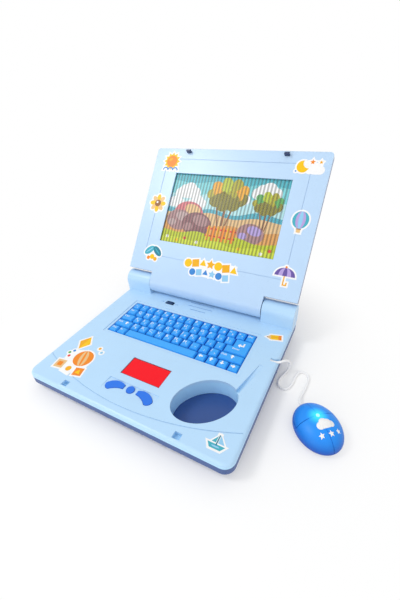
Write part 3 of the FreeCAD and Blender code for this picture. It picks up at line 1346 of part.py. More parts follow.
def mouse_cord():
    """The cord as a tube along its route."""
    points = cord_points()
    path, radii = cord_path(points)
    way = points[1] - points[0]
    ring = Part.Wire([Part.Circle(points[0], way, CORD_RADIUS).toShape()])
    tube = path.makePipeShell([ring], True, False)
    expected = math.pi * CORD_RADIUS ** 2 * path.Length
    print("cord radii", [round(r, 1) for r in radii])
    print("cord length", round(path.Length, 1), "volume share", round(tube.Volume / expected, 4))
    return tube


def cord_grommet():
    """The bush that holds the cord at the notch."""
    return along_x(NOTCH_Y, CORD_EXIT_Z, GROMMET_RADIUS, NOTCH_X + GROMMET_PROUD - GROMMET_LENGTH,
                   NOTCH_X + GROMMET_PROUD)


def build_base():
    save("base_top_cover", base_top_cover())
    save("base_bottom_cover", base_bottom_cover())
    save("base_screws", base_screws())
    save("battery_door", battery_door())
    save("battery_door_screw", battery_door_screw())
    save("batteries", batteries())
    save("battery_contacts", battery_contacts())
    save("main_circuit_board", main_circuit_board())
    save("display_module", display_module())
    save("display_window", display_window())
    save("left_button", side_button(-1))
    save("right_button", side_button(1))
    save("centre_button", centre_button())
    save("button_membrane", button_membrane())
    save("speaker", speaker())
    save("power_switch_knob", power_switch_knob())
    save("power_switch_body", power_switch_body())
    save("cord_grommet", cord_grommet())


def build_keyboard():
    save("keyboard_tray", keyboard_tray())
    save("keyboard_dome_sheet", keyboard_dome_sheet())
    save("keyboard_contact_board", keyboard_contact_board())
    for name, keys in keys_by_name().items():
        save(name, keys[0] if len(keys) == 1 else group(keys))
    save("enter_key", enter_key())


def build_lid():
    save("lid_front_cover", lid_front_cover())
    save("lid_back_cover", lid_back_cover())
    save("lid_screws", lid_screws())
    save("lenticular_sheet", lenticular_sheet())
    save("picture_card", picture_card())
    save("latch_hooks", latch_hooks())
    save("hinge_pin_left", hinge_pin(-1))
    save("hinge_pin_right", hinge_pin(1))


def build_mouse():
    upper_shell, lower_shell, buttons = mouse_shells()
    seat = relief_seat()
    x = MOUSE_SCREW_X
    inside = egg(MOUSE_WALL / 2)
    post = column(x, 0, BOSS_RADIUS, MOUSE_WALL, MOUSE_LENGTH).common(inside[0].fuse(inside[1]))
    pilot = column(x, 0, SCREW_RADIUS + PILOT_CLEARANCE, 0, MOUSE_EQUATOR + FIT_GAP)
    upper_shell = upper_shell.fuse(post).cut([pilot, seat])
    sink = column(x, 0, SCREW_HEAD_RADIUS + FIT_GAP, -OVERCUT, MOUSE_WALL - 2 * FIT_GAP)
    hole = column(x, 0, SCREW_RADIUS + FIT_GAP, -OVERCUT, MOUSE_WALL + OVERCUT)
    lower_shell = lower_shell.cut([seat, sink, hole])
    save("mouse_upper_shell", place_mouse(upper_shell))
    save("mouse_lower_shell", place_mouse(lower_shell))
    save("mouse_left_button", place_mouse(buttons[1]))
    save("mouse_right_button", place_mouse(buttons[0]))
    save("mouse_light_guide", place_mouse(mouse_light_guide()))
    save("mouse_circuit_board", place_mouse(mouse_circuit_board()))
    save("mouse_strain_relief", place_mouse(mouse_strain_relief()))
    save("mouse_screw", place_mouse(mouse_screw()))
    save("mouse_cord", mouse_cord())


os.makedirs("parts", exist_ok=True)
build_base()
build_keyboard()
build_lid()
build_mouse()
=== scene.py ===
import json
import math

import bmesh
import bpy
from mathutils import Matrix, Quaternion, Vector


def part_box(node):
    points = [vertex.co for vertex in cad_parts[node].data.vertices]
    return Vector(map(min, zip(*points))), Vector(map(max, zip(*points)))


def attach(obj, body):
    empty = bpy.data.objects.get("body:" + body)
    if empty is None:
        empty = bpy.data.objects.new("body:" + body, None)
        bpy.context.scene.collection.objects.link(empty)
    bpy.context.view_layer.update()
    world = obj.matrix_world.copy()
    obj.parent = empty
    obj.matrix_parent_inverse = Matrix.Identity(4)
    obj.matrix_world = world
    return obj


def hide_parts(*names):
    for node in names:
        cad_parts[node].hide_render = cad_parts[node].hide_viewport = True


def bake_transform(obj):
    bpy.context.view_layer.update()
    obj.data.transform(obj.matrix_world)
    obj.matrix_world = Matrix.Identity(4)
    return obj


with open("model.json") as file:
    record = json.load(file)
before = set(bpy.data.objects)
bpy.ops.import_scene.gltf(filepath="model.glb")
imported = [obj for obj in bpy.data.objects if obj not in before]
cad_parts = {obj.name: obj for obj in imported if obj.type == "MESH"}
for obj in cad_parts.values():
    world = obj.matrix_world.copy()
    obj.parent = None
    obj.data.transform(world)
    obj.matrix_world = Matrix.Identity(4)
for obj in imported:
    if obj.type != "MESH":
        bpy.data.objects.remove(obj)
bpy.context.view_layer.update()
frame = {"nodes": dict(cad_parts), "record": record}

MM = 0.001

# The camera, in metres and degrees, for a picture 400 by 600 pixels
PICTURE_HEIGHT = 600
FOCAL_PIXELS = 315.6
SENSOR = 36.0
CAMERA_PLACE = Vector((0.1995, -0.2502, 0.3133))
CAMERA_TARGET = Vector((-0.0137, 0.1080, 0.0260))
CAMERA_ROLL = -4.66
CAMERA_SHIFT = (0.0020, -0.0021)

# The lid's plane when it is open, in millimetres and degrees
HINGE_Y = 104.2
HINGE_Z = 42.0
LID_FACE = 15.0
LID_LEAN = math.radians(38.5)
SCREEN_HALF = 94.5
SCREEN_BOTTOM = 67.2
SCREEN_TOP = 180.4
CARD_OVERLAP = 4.0
CARD_BACK = -3.8
CARD_FRONT = -3.5
INK_STEP = 0.004
RIB_PITCH = 5.4

# The deck, the keyboard, the display window and the speaker slots, in millimetres.
# Painted light: lower down, in the hollows under the deck, the casing shifts to a brighter, more saturated
# blue between an upper and a lower height.
DECK_Z = 26.0
KEY_TOP = 25.8
KEY_PITCH = 13.5
ROW_PITCH = 14.4
KEYBOARD_LEFT = -101.25
KEYBOARD_FRONT = -11.3
KEY_EDGE = 2.6
SPEAKER_SLOTS = ((78.4, 26.0), (86.6, 41.0), (94.7, 41.0), (102.6, 45.0))
SPEAKER_SLOT_WIDTH = 1.4
WINDOW_SIZE = (57.2, 28.6)
WINDOW_DROP = 0.8
# Painted shadow round the display window: its width, and the heights of its side and end strips
WINDOW_SHADOW_WIDTH = 1.0
WINDOW_SHADOW_LAYERS = (0.02, 0.03)
# Heights below the deck of the speaker cloth, whose mid blue is painted shade
CLOTH_SHADE_HEIGHTS = (-1.8, -0.7)
SWITCH_WORDS = (("ON", -40.6), ("OFF", -66.8))
SWITCH_WORDS_Y = 78.6
SWITCH_WORD_SIZE = 3.4
DECK_PAINTED_LIGHT_LEVELS = (20.0, 25.0)

# The mouse, its light and its print, in millimetres and degrees
MOUSE_PLACE = (199.3, -30.0)
MOUSE_ANGLE = 133.0
MOUSE_HALF = (29.2, 24.0, 17.6)
MOUSE_EQUATOR = 6.8
MOUSE_LIGHT = 3.6
MOUSE_LIGHT_TOP = 24.3
# Heights in millimetres over which painted shade darkens the mouse towards its foot
MOUSE_PAINTED_SHADE_LEVELS = (4.0, 22.0)
GLOW_REACH = 13.0
GLOW_STRENGTH = 0.85
PRINT_PLACE = -7.0
PRINT_ASIDE = -2.0
PRINT_LIFT = 0.05
PRINT_STEP = 0.004
PRINT_THICKNESS = 0.1
PRINT_RINGS = (1.0, 0.66, 0.33)

# Stickers and prints, in millimetres and degrees. A sticker's border spreads no further than
# LEAST_SPREAD lets it at a sharp corner, and takes one side's direction at a full turn.
STICKER_BACKING = 0.12
STICKER_INK = 0.012
STICKER_BORDER = 2.2
BACKING_STEP = 0.001
LEGEND_HEIGHT = 0.03
CIRCLE_POINTS = 28
HILL_STEPS = 6
LETTER_STEPS = 2
LEAST_TURN = 0.2
LEAST_SPREAD = 0.6
CRESCENT_OPENING = 50.0
CRESCENT_REACH = 0.42
BANNER_SAG = 0.0022

# Key legends: each node with its row from the front, its left edge and its width in key
# pitches, and its signs. Sizes and places on a key are in millimetres.
LEGENDS = (
    ("number_keys_left", 4, 0.0, 1.0, ("~", "1", "2", "3", "4", "5", "6")),
    ("number_keys_right", 4, 7.0, 1.0, ("7", "8", "9", "0", "-", "=", "+")),
    ("upper_letter_keys_left", 3, 1.2, 1.0, ("Q", "W", "E", "R", "T", "Y")),
    ("upper_letter_keys_right", 3, 7.2, 1.0, ("U", "I", "O", "P", "[", "]")),
    ("middle_letter_keys_left", 2, 1.6, 1.0, ("A", "S", "D", "F", "G", "H")),
    ("middle_letter_keys_right", 2, 7.6, 1.0, ("J", "K", "L", ";", "'")),
    ("lower_letter_keys_left", 1, 2.1, 1.04, ("Z", "X", "C", "V", "B")),
    ("lower_letter_keys_right", 1, 7.3, 1.04, ("N", "M", ",", ".", "/")),
)
SMALL_SIGNS = "!@#$%^&*()_+{}|:?<>"
WORDS = (
    ("tab_key", 3, 0.0, "Tab"),
    ("caps_key", 2, 0.0, "Caps"),
    ("left_shift_key", 1, 0.0, "Shift"),
    ("right_shift_key", 1, 12.5, "Shift"),
    ("control_key", 0, 0.0, "Ctrl"),
    ("function_key", 0, 1.1, "Fn"),
    ("backspace_key", 4, 14.0, "Del"),
    ("enter_key", 2, 13.2, "Enter"),
)
ARROWS = (
    ("arrow_left_key", 10.6, 180.0),
    ("arrow_up_key", 11.7, 90.0),
    ("arrow_down_key", 12.8, 270.0),
    ("arrow_right_key", 13.9, 0.0),
)
LETTER_SIZE = 6.6
LETTER_RISE = 6.4
SIGN_SIZE = 4.0
SIGN_PLACE = (7.6, 3.4)
WORD_SIZE = 4.6
WORD_RISE = 7.4
ARROW_LENGTH = 6.0
ARROW_PLACE = (6.4, 8.4)
SHIFT_ARROW_PLACE = (18.1, 8.6)
ENTER_ARROW_LENGTH = 7.0
ENTER_ARROW_PLACE = (10.6, 16.5)
ENTER_STEM_PLACE = (14.8, 18.6)
ENTER_STEM_SIZE = (2.0, 6.4)

# The cord's route from the notch to the mouse, in millimetres
CORD_DIAMETER = 3.0
CORD_SIDES = 16
CORD_STEPS = 8
CORD_ROUTE = (
    (131.5, 26.4, 23.5),
    (136.4, 26.4, 23.5),
    (142.0, 29.2, 23.5),
    (145.6, 35.0, 22.6),
    (149.6, 40.6, 18.6),
    (151.8, 41.6, 11.4),
    (150.2, 37.8, 4.6),
    (146.8, 31.0, 1.5),
    (144.2, 22.6, 1.5),
    (144.2, 14.4, 1.5),
    (148.7, 9.4, 1.5),
    (155.2, 9.4, 1.5),
    (159.2, 15.0, 1.5),
    (160.4, 23.6, 1.5),
    (160.8, 32.6, 1.5),
    (162.2, 40.6, 1.5),
    (166.4, 45.0, 1.5),
    (172.8, 45.0, 1.5),
    (176.6, 39.6, 1.5),
    (176.8, 30.4, 1.5),
    (176.2, 20.4, 1.5),
    (175.0, 11.8, 1.5),
    (174.0, 4.4, 2.6),
    (174.68, -3.6, 5.0),
    (178.09, -7.25, 5.0),
)

# Grain of the finishes: noise scales per metre, and depth in metres
FLOW_SCALE = 38.0
RUB_SCALE = 420.0
GRAIN_SCALE = 2600.0
GRAIN_DEPTH = 0.0001

# Painted shade of the ribbed sheet's grooves on the card's inks, as shares of a rib's wave and of the ink's
# colour
GROOVE_SHADE_SPAN = (0.45, 1.0)
GROOVE_SHADE_COVER = 0.72
GROOVE_PAINTED_SHADE = 0.22

# Rounded edges of the small parts, in millimetres, where faces meet more sharply than an angle
ROUNDED_EDGES = {"key_blue": 0.45, "mid_blue_buttons": 0.35, "navy_hooks": 0.35, "dark_blue_switch": 0.4}
ROUNDED_ANGLE = 32.0

# The floor, which fades to white between two distances, and the lamps, in metres and watts
FLOOR_REACH = 6.0
FLOOR_TINT = (0.97, 0.97, 0.97, 1.0)
FLOOR_FADE = (0.1, 0.32)
WHITE = (1.0, 1.0, 1.0, 1.0)
ROOM_LIGHT = 0.78
LAMP_TARGET = (0.0, 0.0, 0.05)
LAMPS = (
    ("key", (-0.9, -0.6, 1.5), (0.45, 0.45), 8.6),
    ("fill", (0.9, -0.8, 0.9), (1.0, 1.0), 0.9),
    ("strip", (-0.2, -0.8, 0.34), (1.2, 0.1), 1.1),
)


def linear(value):
    """One 0 to 255 screen value as linear light."""
    share = value / 255
    if share <= 0.04045:
        return share / 12.92
    return ((share + 0.055) / 1.055) ** 2.4


def colour(red, green, blue):
    """A screen colour as a linear one with full cover."""
    return (linear(red), linear(green), linear(blue), 1.0)


def shaded(tint, share):
    """A linear colour at a share of its brightness."""
    return (tint[0] * share, tint[1] * share, tint[2] * share, 1.0)


class Finish:
    """A material with its nodes at hand."""

    def __init__(self, name):
        self.material = bpy.data.materials.new(name)
        self.material.use_nodes = True
        self.nodes = self.material.node_tree.nodes
        self.links = self.material.node_tree.links
        self.shader = self.nodes["Principled BSDF"]

    def node(self, kind, **values):
        made = self.nodes.new(kind)
        for name, value in values.items():
            made.inputs[name].default_value = value
        return made

    def math(self, operation, first, second=0.0):
        """One arithmetic step; an input is a number or an output."""
        made = self.nodes.new("ShaderNodeMath")
        made.operation = operation
        for i, value in enumerate((first, second)):
            if isinstance(value, (int, float)):
                made.inputs[i].default_value = value
            else:
                self.link(value, made.inputs[i])
        return made.outputs["Value"]

    def link(self, source, target):
        self.links.new(source, target)

    def set(self, **values):
        for name, value in values.items():
            self.shader.inputs[name.replace("_", " ")].default_value = value

    def place(self):
        """Positions in metres that stay with the piece."""
        return self.nodes.new("ShaderNodeTexCoord").outputs["Object"]

    def mottle(self, place, tint, shade, scale):
        """A tint that drifts to a darker shade and back; gives the colour's output."""
        flow = self.node("ShaderNodeTexNoise", Scale=scale, Detail=3.0, Roughness=0.5)
        self.link(place, flow.inputs["Vector"])
        mix = self.nodes.new("ShaderNodeMix")
        mix.data_type = "RGBA"
        mix.inputs["A"].default_value = tint
        mix.inputs["B"].default_value = shaded(tint, shade)
        self.link(flow.outputs["Fac"], mix.inputs["Factor"])
        return mix.outputs["Result"]

    def rub(self, place, roughness, scale, spread=0.07):
        """Roughness that varies a little over the surface."""
        noise = self.node("ShaderNodeTexNoise", Scale=scale, Detail=2.0)
        self.link(place, noise.inputs["Vector"])
        ranged = self.nodes.new("ShaderNodeMapRange")
        ranged.inputs["To Min"].default_value = roughness - spread
        ranged.inputs["To Max"].default_value = roughness + spread
        self.link(noise.outputs["Fac"], ranged.inputs["Value"])
        self.link(ranged.outputs["Result"], self.shader.inputs["Roughness"])

    def grain(self, place, strength, scale, edge):
        """Fine surface grain, and edges softened by a radius in millimetres."""
        noise = self.node("ShaderNodeTexNoise", Scale=scale, Detail=2.0)
        self.link(place, noise.inputs["Vector"])
        bump = self.node("ShaderNodeBump", Strength=strength, Distance=GRAIN_DEPTH)
        self.link(noise.outputs["Fac"], bump.inputs["Height"])
        if edge:
            soft = self.nodes.new("ShaderNodeBevel")
            soft.samples = 4
            soft.inputs["Radius"].default_value = edge * MM
            self.link(soft.outputs["Normal"], bump.inputs["Normal"])
        self.link(bump.outputs["Normal"], self.shader.inputs["Normal"])


def moulded_plastic(name, tint, roughness=0.34, grain=0.06, shade=0.94, edge=0.4):
    """Smooth moulded plastic: slight flow marks in its colour, fine grain and soft edges."""
    finish = Finish(name)
    place = finish.place()
    tinted = finish.mottle(place, tint, shade, FLOW_SCALE)
    finish.link(tinted, finish.shader.inputs["Base Color"])
    finish.rub(place, roughness, RUB_SCALE)
    finish.grain(place, grain, GRAIN_SCALE, edge)
    return finish


def painted_shading_by_height(finish, painted_shading_colour, levels):
    """Paint light or shade into a finish: another colour below the first of two levels in millimetres,
    easing back to its own colour above the second.
    """
    split = finish.nodes.new("ShaderNodeSeparateXYZ")
    finish.link(finish.place(), split.inputs["Vector"])
    rise = finish.nodes.new("ShaderNodeMapRange")
    rise.interpolation_type = "SMOOTHSTEP"
    rise.inputs["From Min"].default_value = levels[0] * MM
    rise.inputs["From Max"].default_value = levels[1] * MM
    finish.link(split.outputs["Z"], rise.inputs["Value"])
    mix = finish.nodes.new("ShaderNodeMix")
    mix.data_type = "RGBA"
    mix.inputs["A"].default_value = painted_shading_colour
    finish.link(rise.outputs["Result"], mix.inputs["Factor"])
    finish.link(finish.shader.inputs["Base Color"].links[0].from_socket, mix.inputs["B"])
    finish.link(mix.outputs["Result"], finish.shader.inputs["Base Color"])
    return finish


def glowing_mouse_plastic(name, tint, painted_shading_colour, glow):
    """The mouse's plastic, with painted shade that darkens it towards its foot, and lit from within around
    its light.
    """
    plain = moulded_plastic(name, tint, roughness=0.42, grain=0.03, shade=0.9, edge=0.5)
    finish = painted_shading_by_height(plain, painted_shading_colour, MOUSE_PAINTED_SHADE_LEVELS)
    turn = math.radians(MOUSE_ANGLE)
    light = Vector((MOUSE_PLACE[0] + MOUSE_LIGHT * math.cos(turn),
                    MOUSE_PLACE[1] + MOUSE_LIGHT * math.sin(turn), MOUSE_LIGHT_TOP)) * MM
    away = finish.nodes.new("ShaderNodeVectorMath")
    away.operation = "DISTANCE"
    finish.link(finish.place(), away.inputs[0])
    away.inputs[1].default_value = light
    near = finish.nodes.new("ShaderNodeMapRange")
    near.interpolation_type = "SMOOTHSTEP"
    near.inputs["From Min"].default_value = 0.0
    near.inputs["From Max"].default_value = GLOW_REACH * MM
    near.inputs["To Min"].default_value = GLOW_STRENGTH
    near.inputs["To Max"].default_value = 0.0
    finish.link(away.outputs["Value"], near.inputs["Value"])
    finish.link(near.outputs["Result"], finish.shader.inputs["Emission Strength"])
    finish.set(Emission_Color=glow)
    return finish


def metal(name, tint, roughness):
    """Plain bright metal with faint drawn lines."""
    finish = Finish(name)
    place = finish.place()
    finish.link(finish.mottle(place, tint, 0.85, 300.0), finish.shader.inputs["Base Color"])
    finish.set(Metallic=1.0)
    finish.rub(place, roughness, 900.0)
    finish.grain(place, 0.1, 1800.0, 0.1)
    return finish


def printed_ink(name, tint, ribbed):
    """Glossy printed ink; behind the ribbed sheet it carries painted shade, darker at each groove of the
    sheet.
    """
    finish = Finish(name)
    place = finish.place()
    tinted = finish.mottle(place, tint, 0.88, 90.0)
    if ribbed:
        split = finish.nodes.new("ShaderNodeSeparateXYZ")
        finish.link(place, split.inputs["Vector"])
        turns = finish.math("MULTIPLY", split.outputs["X"], math.pi / (RIB_PITCH * MM))
        wave = finish.math("ABSOLUTE", finish.math("SINE", turns))
        # Painted shade of the sheet's grooves, a mask over the rib wave
        groove = finish.nodes.new("ShaderNodeMapRange")
        groove.interpolation_type = "SMOOTHSTEP"
        groove.inputs["From Min"].default_value = GROOVE_SHADE_SPAN[0]
        groove.inputs["From Max"].default_value = GROOVE_SHADE_SPAN[1]
        groove.inputs["To Min"].default_value = 0.0
        groove.inputs["To Max"].default_value = GROOVE_SHADE_COVER
        finish.link(wave, groove.inputs["Value"])
        mix = finish.nodes.new("ShaderNodeMix")
        mix.data_type = "RGBA"
        mix.inputs["B"].default_value = shaded(tint, GROOVE_PAINTED_SHADE)
        finish.link(groove.outputs["Result"], mix.inputs["Factor"])
        finish.link(tinted, mix.inputs["A"])
        tinted = mix.outputs["Result"]
    finish.link(tinted, finish.shader.inputs["Base Color"])
    finish.rub(place, 0.32, 700.0)
    finish.grain(place, 0.05, 3000.0, 0)
    finish.set(Specular_IOR_Level=0.25)
    return finish


def clear_sheet(name):
    """The clear ribbed sheet, mostly seen through."""
    finish = Finish(name)
    place = finish.place()
    finish.link(finish.mottle(place, colour(236, 246, 246), 0.95, 60.0),
                finish.shader.inputs["Base Color"])
    finish.rub(place, 0.22, 800.0)
    finish.grain(place, 0.03, GRAIN_SCALE, 0)
    finish.set(Alpha=0.03)
    return finish


FINISHES = {
    "light_blue_casing": moulded_plastic("light_blue_casing", colour(184, 220, 250), 0.3, 0.03),
    "navy_casing": moulded_plastic("navy_casing", colour(46, 82, 146), 0.38),
    "key_blue": moulded_plastic("key_blue", colour(50, 168, 254), 0.3, 0.05, 0.92),
    # The tray's deeper blue is painted shade: the web between the keys is darker than the keys for the
    # shade in the gaps.
    "key_tray_blue": moulded_plastic("key_tray_blue", colour(16, 104, 230), 0.4),
    "mid_blue_buttons": moulded_plastic("mid_blue_buttons", colour(42, 118, 232), 0.3),
    "dark_blue_switch": moulded_plastic("dark_blue_switch", colour(26, 56, 96), 0.45),
    "navy_hooks": moulded_plastic("navy_hooks", colour(28, 48, 92), 0.35),
    # The mouse's second colour is painted shade towards its foot.
    "mouse_blue": glowing_mouse_plastic("mouse_blue", colour(28, 148, 252), colour(4, 74, 178),
                                        colour(60, 222, 250)),
    "mouse_dark_blue": moulded_plastic("mouse_dark_blue", colour(18, 70, 168), 0.3),
    "red_window": moulded_plastic("red_window", colour(250, 20, 36), 0.14, 0.02),
    "white_rubber": moulded_plastic("white_rubber", colour(250, 250, 250), 0.5, 0.1),
    "black_plastic": moulded_plastic("black_plastic", colour(24, 24, 26), 0.5),
    "grey_rubber": moulded_plastic("grey_rubber", colour(150, 150, 150), 0.6, 0.12),
    "circuit_board": moulded_plastic("circuit_board", colour(34, 96, 54), 0.5, 0.1),
    "display_panel": moulded_plastic("display_panel", colour(84, 90, 84), 0.3),
    "printed_card": printed_ink("printed_card", colour(150, 190, 150), False),
    "ribbed_clear_sheet": clear_sheet("ribbed_clear_sheet"),
    "clear_light_guide": moulded_plastic("clear_light_guide", colour(160, 240, 255), 0.2),
    "cell_jacket": metal("cell_jacket", colour(110, 112, 120), 0.4),
    "steel": metal("steel", colour(196, 198, 202), 0.3),
    "contact_plating": metal("contact_plating", colour(206, 206, 200), 0.3),
    "speaker_metal": metal("speaker_metal", colour(66, 66, 70), 0.45),
}
# The base's casing, with painted light: a brighter, more saturated blue in the hollows under the deck.
BASE_CASING_PAINTED_LIGHT = painted_shading_by_height(moulded_plastic("base_casing_painted_light", colour(184, 220, 250), 0.3, 0.03),
                       colour(178, 224, 255), DECK_PAINTED_LIGHT_LEVELS)
# The lid's copy of the casing plastic, greyer than the base's: painted sheen.
LID_CASING_PAINTED_SHEEN = moulded_plastic("lid_casing_painted_sheen", colour(189, 217, 245), 0.3, 0.03)
# The speaker cloth's mid blue is painted shade, the shade inside the slots.
CLOTH_PAINTED_SHADE = moulded_plastic("speaker_cloth_painted_shade", colour(118, 170, 226), 0.8, 0.3, 0.8, 0)
# Dark red for the painted shadow round the display window
PAINTED_WINDOW_SHADOW = moulded_plastic("painted_window_shadow", colour(120, 16, 40), 0.4)
FINISHES["red_window"].set(Specular_IOR_Level=0.15)
FINISHES["mid_blue_buttons"].set(Specular_IOR_Level=0.3)
FINISHES["mouse_blue"].set(Specular_IOR_Level=0.35)
FINISHES["clear_light_guide"].set(Emission_Color=colour(140, 236, 255), Emission_Strength=0.7)

# The two top covers take the casing copies with painted light and painted sheen in place of their slot's
# finish.
PAINTED_LIGHT_CASINGS = {"base_top_cover": BASE_CASING_PAINTED_LIGHT, "lid_front_cover": LID_CASING_PAINTED_SHEEN}

INKS = {
    "white": (250, 250, 250),
    "yellow": (252, 200, 20),
    "gold": (246, 178, 24),
    "orange": (244, 140, 34),
    "tan": (236, 196, 138),
    "brown": (150, 96, 48),
    "teal": (74, 178, 196),
    "deep_teal": (40, 130, 152),
    "sky": (70, 186, 200),
    "bright_sky": (122, 214, 220),
    "pale_sky": (186, 234, 238),
    "blue": (64, 140, 214),
    "pale_blue": (150, 206, 240),
    "lilac": (186, 164, 222),
    "purple": (108, 88, 164),
    "lime": (196, 208, 40),
    "bright_lime": (214, 226, 60),
    "olive": (184, 176, 20),
    "moss": (140, 132, 16),
    "sand": (232, 168, 92),
    "pale_stone": (196, 168, 166),
    "pink": (222, 120, 128),
    "maroon": (146, 96, 100),
    "stone": (178, 136, 136),
    "red": (232, 70, 66),
    "green": (96, 178, 92),
}
STICKER_INKS = {name: printed_ink("ink_" + name, colour(*tint), False) for name, tint in INKS.items()}
# The card's inks carry the painted shade of the ribbed sheet's grooves.
CARD_INKS = {name: printed_ink("card_" + name, colour(*tint), True)
             for name, tint in INKS.items()}


def dress_nodes():
    """Give every node the finish of its slot in the record, the two top covers their copies with painted
    light and painted sheen, and rounded edges to what shows.
    """
    for row in frame["record"]["subparts"]:
        node = frame["nodes"][row["node"]]
        slot = row["material_slot"]
        node.data.materials.clear()
        finish = PAINTED_LIGHT_CASINGS.get(row["node"], FINISHES[slot])
        node.data.materials.append(finish.material)
        if slot in ROUNDED_EDGES:
            edge = node.modifiers.new("rounded_edges", "BEVEL")
            edge.width = ROUNDED_EDGES[slot] * MM
            edge.segments = 2
            edge.limit_method = "ANGLE"
            edge.angle_limit = math.radians(ROUNDED_ANGLE)


def add_piece(name, mesh, finishes, body):
    """A new mesh object that moves with a body."""
    piece = bpy.data.objects.new(name, mesh)
    bpy.context.scene.collection.objects.link(piece)
    for finish in finishes:
        mesh.materials.append(finish.material)
    if body:
        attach(piece, body)
    return piece


# Flat outlines, each a list of points in millimetres, anticlockwise


def ellipse(x, y, half_x, half_y, turn=0.0):
    """An ellipse, turned by degrees."""
    c, s = math.cos(math.radians(turn)), math.sin(math.radians(turn))
    points = []
    for i in range(CIRCLE_POINTS):
        a = 2 * math.pi * i / CIRCLE_POINTS
        u, v = half_x * math.cos(a), half_y * math.sin(a)
        points.append((x + u * c - v * s, y + u * s + v * c))
    return points


def disc(x, y, radius):
    """A circle."""
    return ellipse(x, y, radius, radius)


def star(x, y, outer, inner, count, turn=90.0):
    """A star with its first point turned to an angle in degrees."""
    points = []
    for i in range(2 * count):
        a = math.radians(turn) + math.pi * i / count
        radius = inner if i % 2 else outer
        points.append((x + radius * math.cos(a), y + radius * math.sin(a)))
    return points


def block(x, y, width, height, turn=0.0):
    """A rectangle about its middle, turned by degrees."""
    c, s = math.cos(math.radians(turn)), math.sin(math.radians(turn))
    corners = ((-1, -1), (1, -1), (1, 1), (-1, 1))
    return [(x + a * width / 2 * c - b * height / 2 * s, y + a * width / 2 * s + b * height / 2 * c)
            for a, b in corners]


def triangle(x, y, radius, turn=90.0):
    """An even triangle."""
    return star(x, y, radius, radius / 2, 3, turn)


def crescent(x, y, radius, turn):
    """A crescent whose horns point to an angle in degrees."""
    outer = []
    inner = []
    opening = math.radians(CRESCENT_OPENING)
    steps = CIRCLE_POINTS
    for i in range(steps + 1):
        a = opening + (2 * math.pi - 2 * opening) * i / steps
        outer.append((radius * math.cos(a), radius * math.sin(a)))
    horn_x, horn_y = outer[0]
    middle = horn_x + CRESCENT_REACH * radius
    reach = math.hypot(horn_x - middle, horn_y)
    low = math.atan2(-horn_y, horn_x - middle)
    for i in range(1, steps):
        a = low - (2 * math.pi + 2 * low) * i / steps
        inner.append((middle + reach * math.cos(a), reach * math.sin(a)))
    c, s = math.cos(math.radians(turn)), math.sin(math.radians(turn))
    return [(x + u * c - v * s, y + u * s + v * c) for u, v in outer + inner]


def half_ellipse(x, y, half_x, half_y):
    """The upper half of an ellipse on a straight foot."""
    steps = CIRCLE_POINTS // 2
    return [(x + half_x * math.cos(math.pi * i / steps), y + half_y * math.sin(math.pi * i / steps))
            for i in range(steps + 1)]


def arch(x, y, outer, inner):
    """Half a ring, open downwards."""
    points = []
    for radius, order in ((outer, 1), (inner, -1)):
        for i in range(CIRCLE_POINTS // 2 + 1)[::order]:
            a = math.pi * i / (CIRCLE_POINTS // 2)
            points.append((x + radius * math.cos(a), y + radius * math.sin(a)))
    return points


def hill(left, right, base, heights):
    """A filled outline over a level base, through even heights from left to right."""
    count = len(heights) - 1
    crest = []
    for i in range(count * HILL_STEPS + 1):
        k, part = divmod(i, HILL_STEPS)
        low = heights[k]
        high = heights[min(k + 1, count)]
        ease = (1 - math.cos(math.pi * part / HILL_STEPS)) / 2
        crest.append((left + (right - left) * i / (count * HILL_STEPS), low + (high - low) * ease))
    return [(left, base), (right, base)] + crest[::-1]


def grown(points, by):
    """An outline moved outwards all round."""
    moved = []
    count = len(points)
    for i, (x, y) in enumerate(points):
        before = Vector(points[i - 1])
        after = Vector(points[(i + 1) % count])
        here = Vector((x, y))
        first = (here - before).normalized()
        second = (after - here).normalized()
        normal = Vector((first.y + second.y, -first.x - second.x))
        if normal.length < LEAST_TURN:
            normal = Vector((first.y, -first.x))
        normal.normalize()
        share = max(normal.dot(Vector((first.y, -first.x))), LEAST_SPREAD)
        moved.append(tuple(here + normal * by / share))
    return moved


class Plane:
    """A flat place on the object: an origin in millimetres and three directions."""

    def __init__(self, origin, across, up):
        self.origin = Vector(origin)
        self.across = Vector(across)
        self.up = Vector(up)
        self.out = self.across.cross(self.up)

    def at(self, x, y, height):
        return (self.origin + x * self.across + y * self.up + height * self.out) * MM


LID_UP = (0.0, math.sin(LID_LEAN), math.cos(LID_LEAN))
LID_OUT = Vector((0.0, -math.cos(LID_LEAN), math.sin(LID_LEAN)))
LID = Plane(Vector((0.0, HINGE_Y, HINGE_Z)) + LID_FACE * LID_OUT, (1, 0, 0), LID_UP)
DECK = Plane((0, 0, DECK_Z), (1, 0, 0), (0, 1, 0))
KEYS = Plane((0, 0, KEY_TOP), (1, 0, 0), (0, 1, 0))


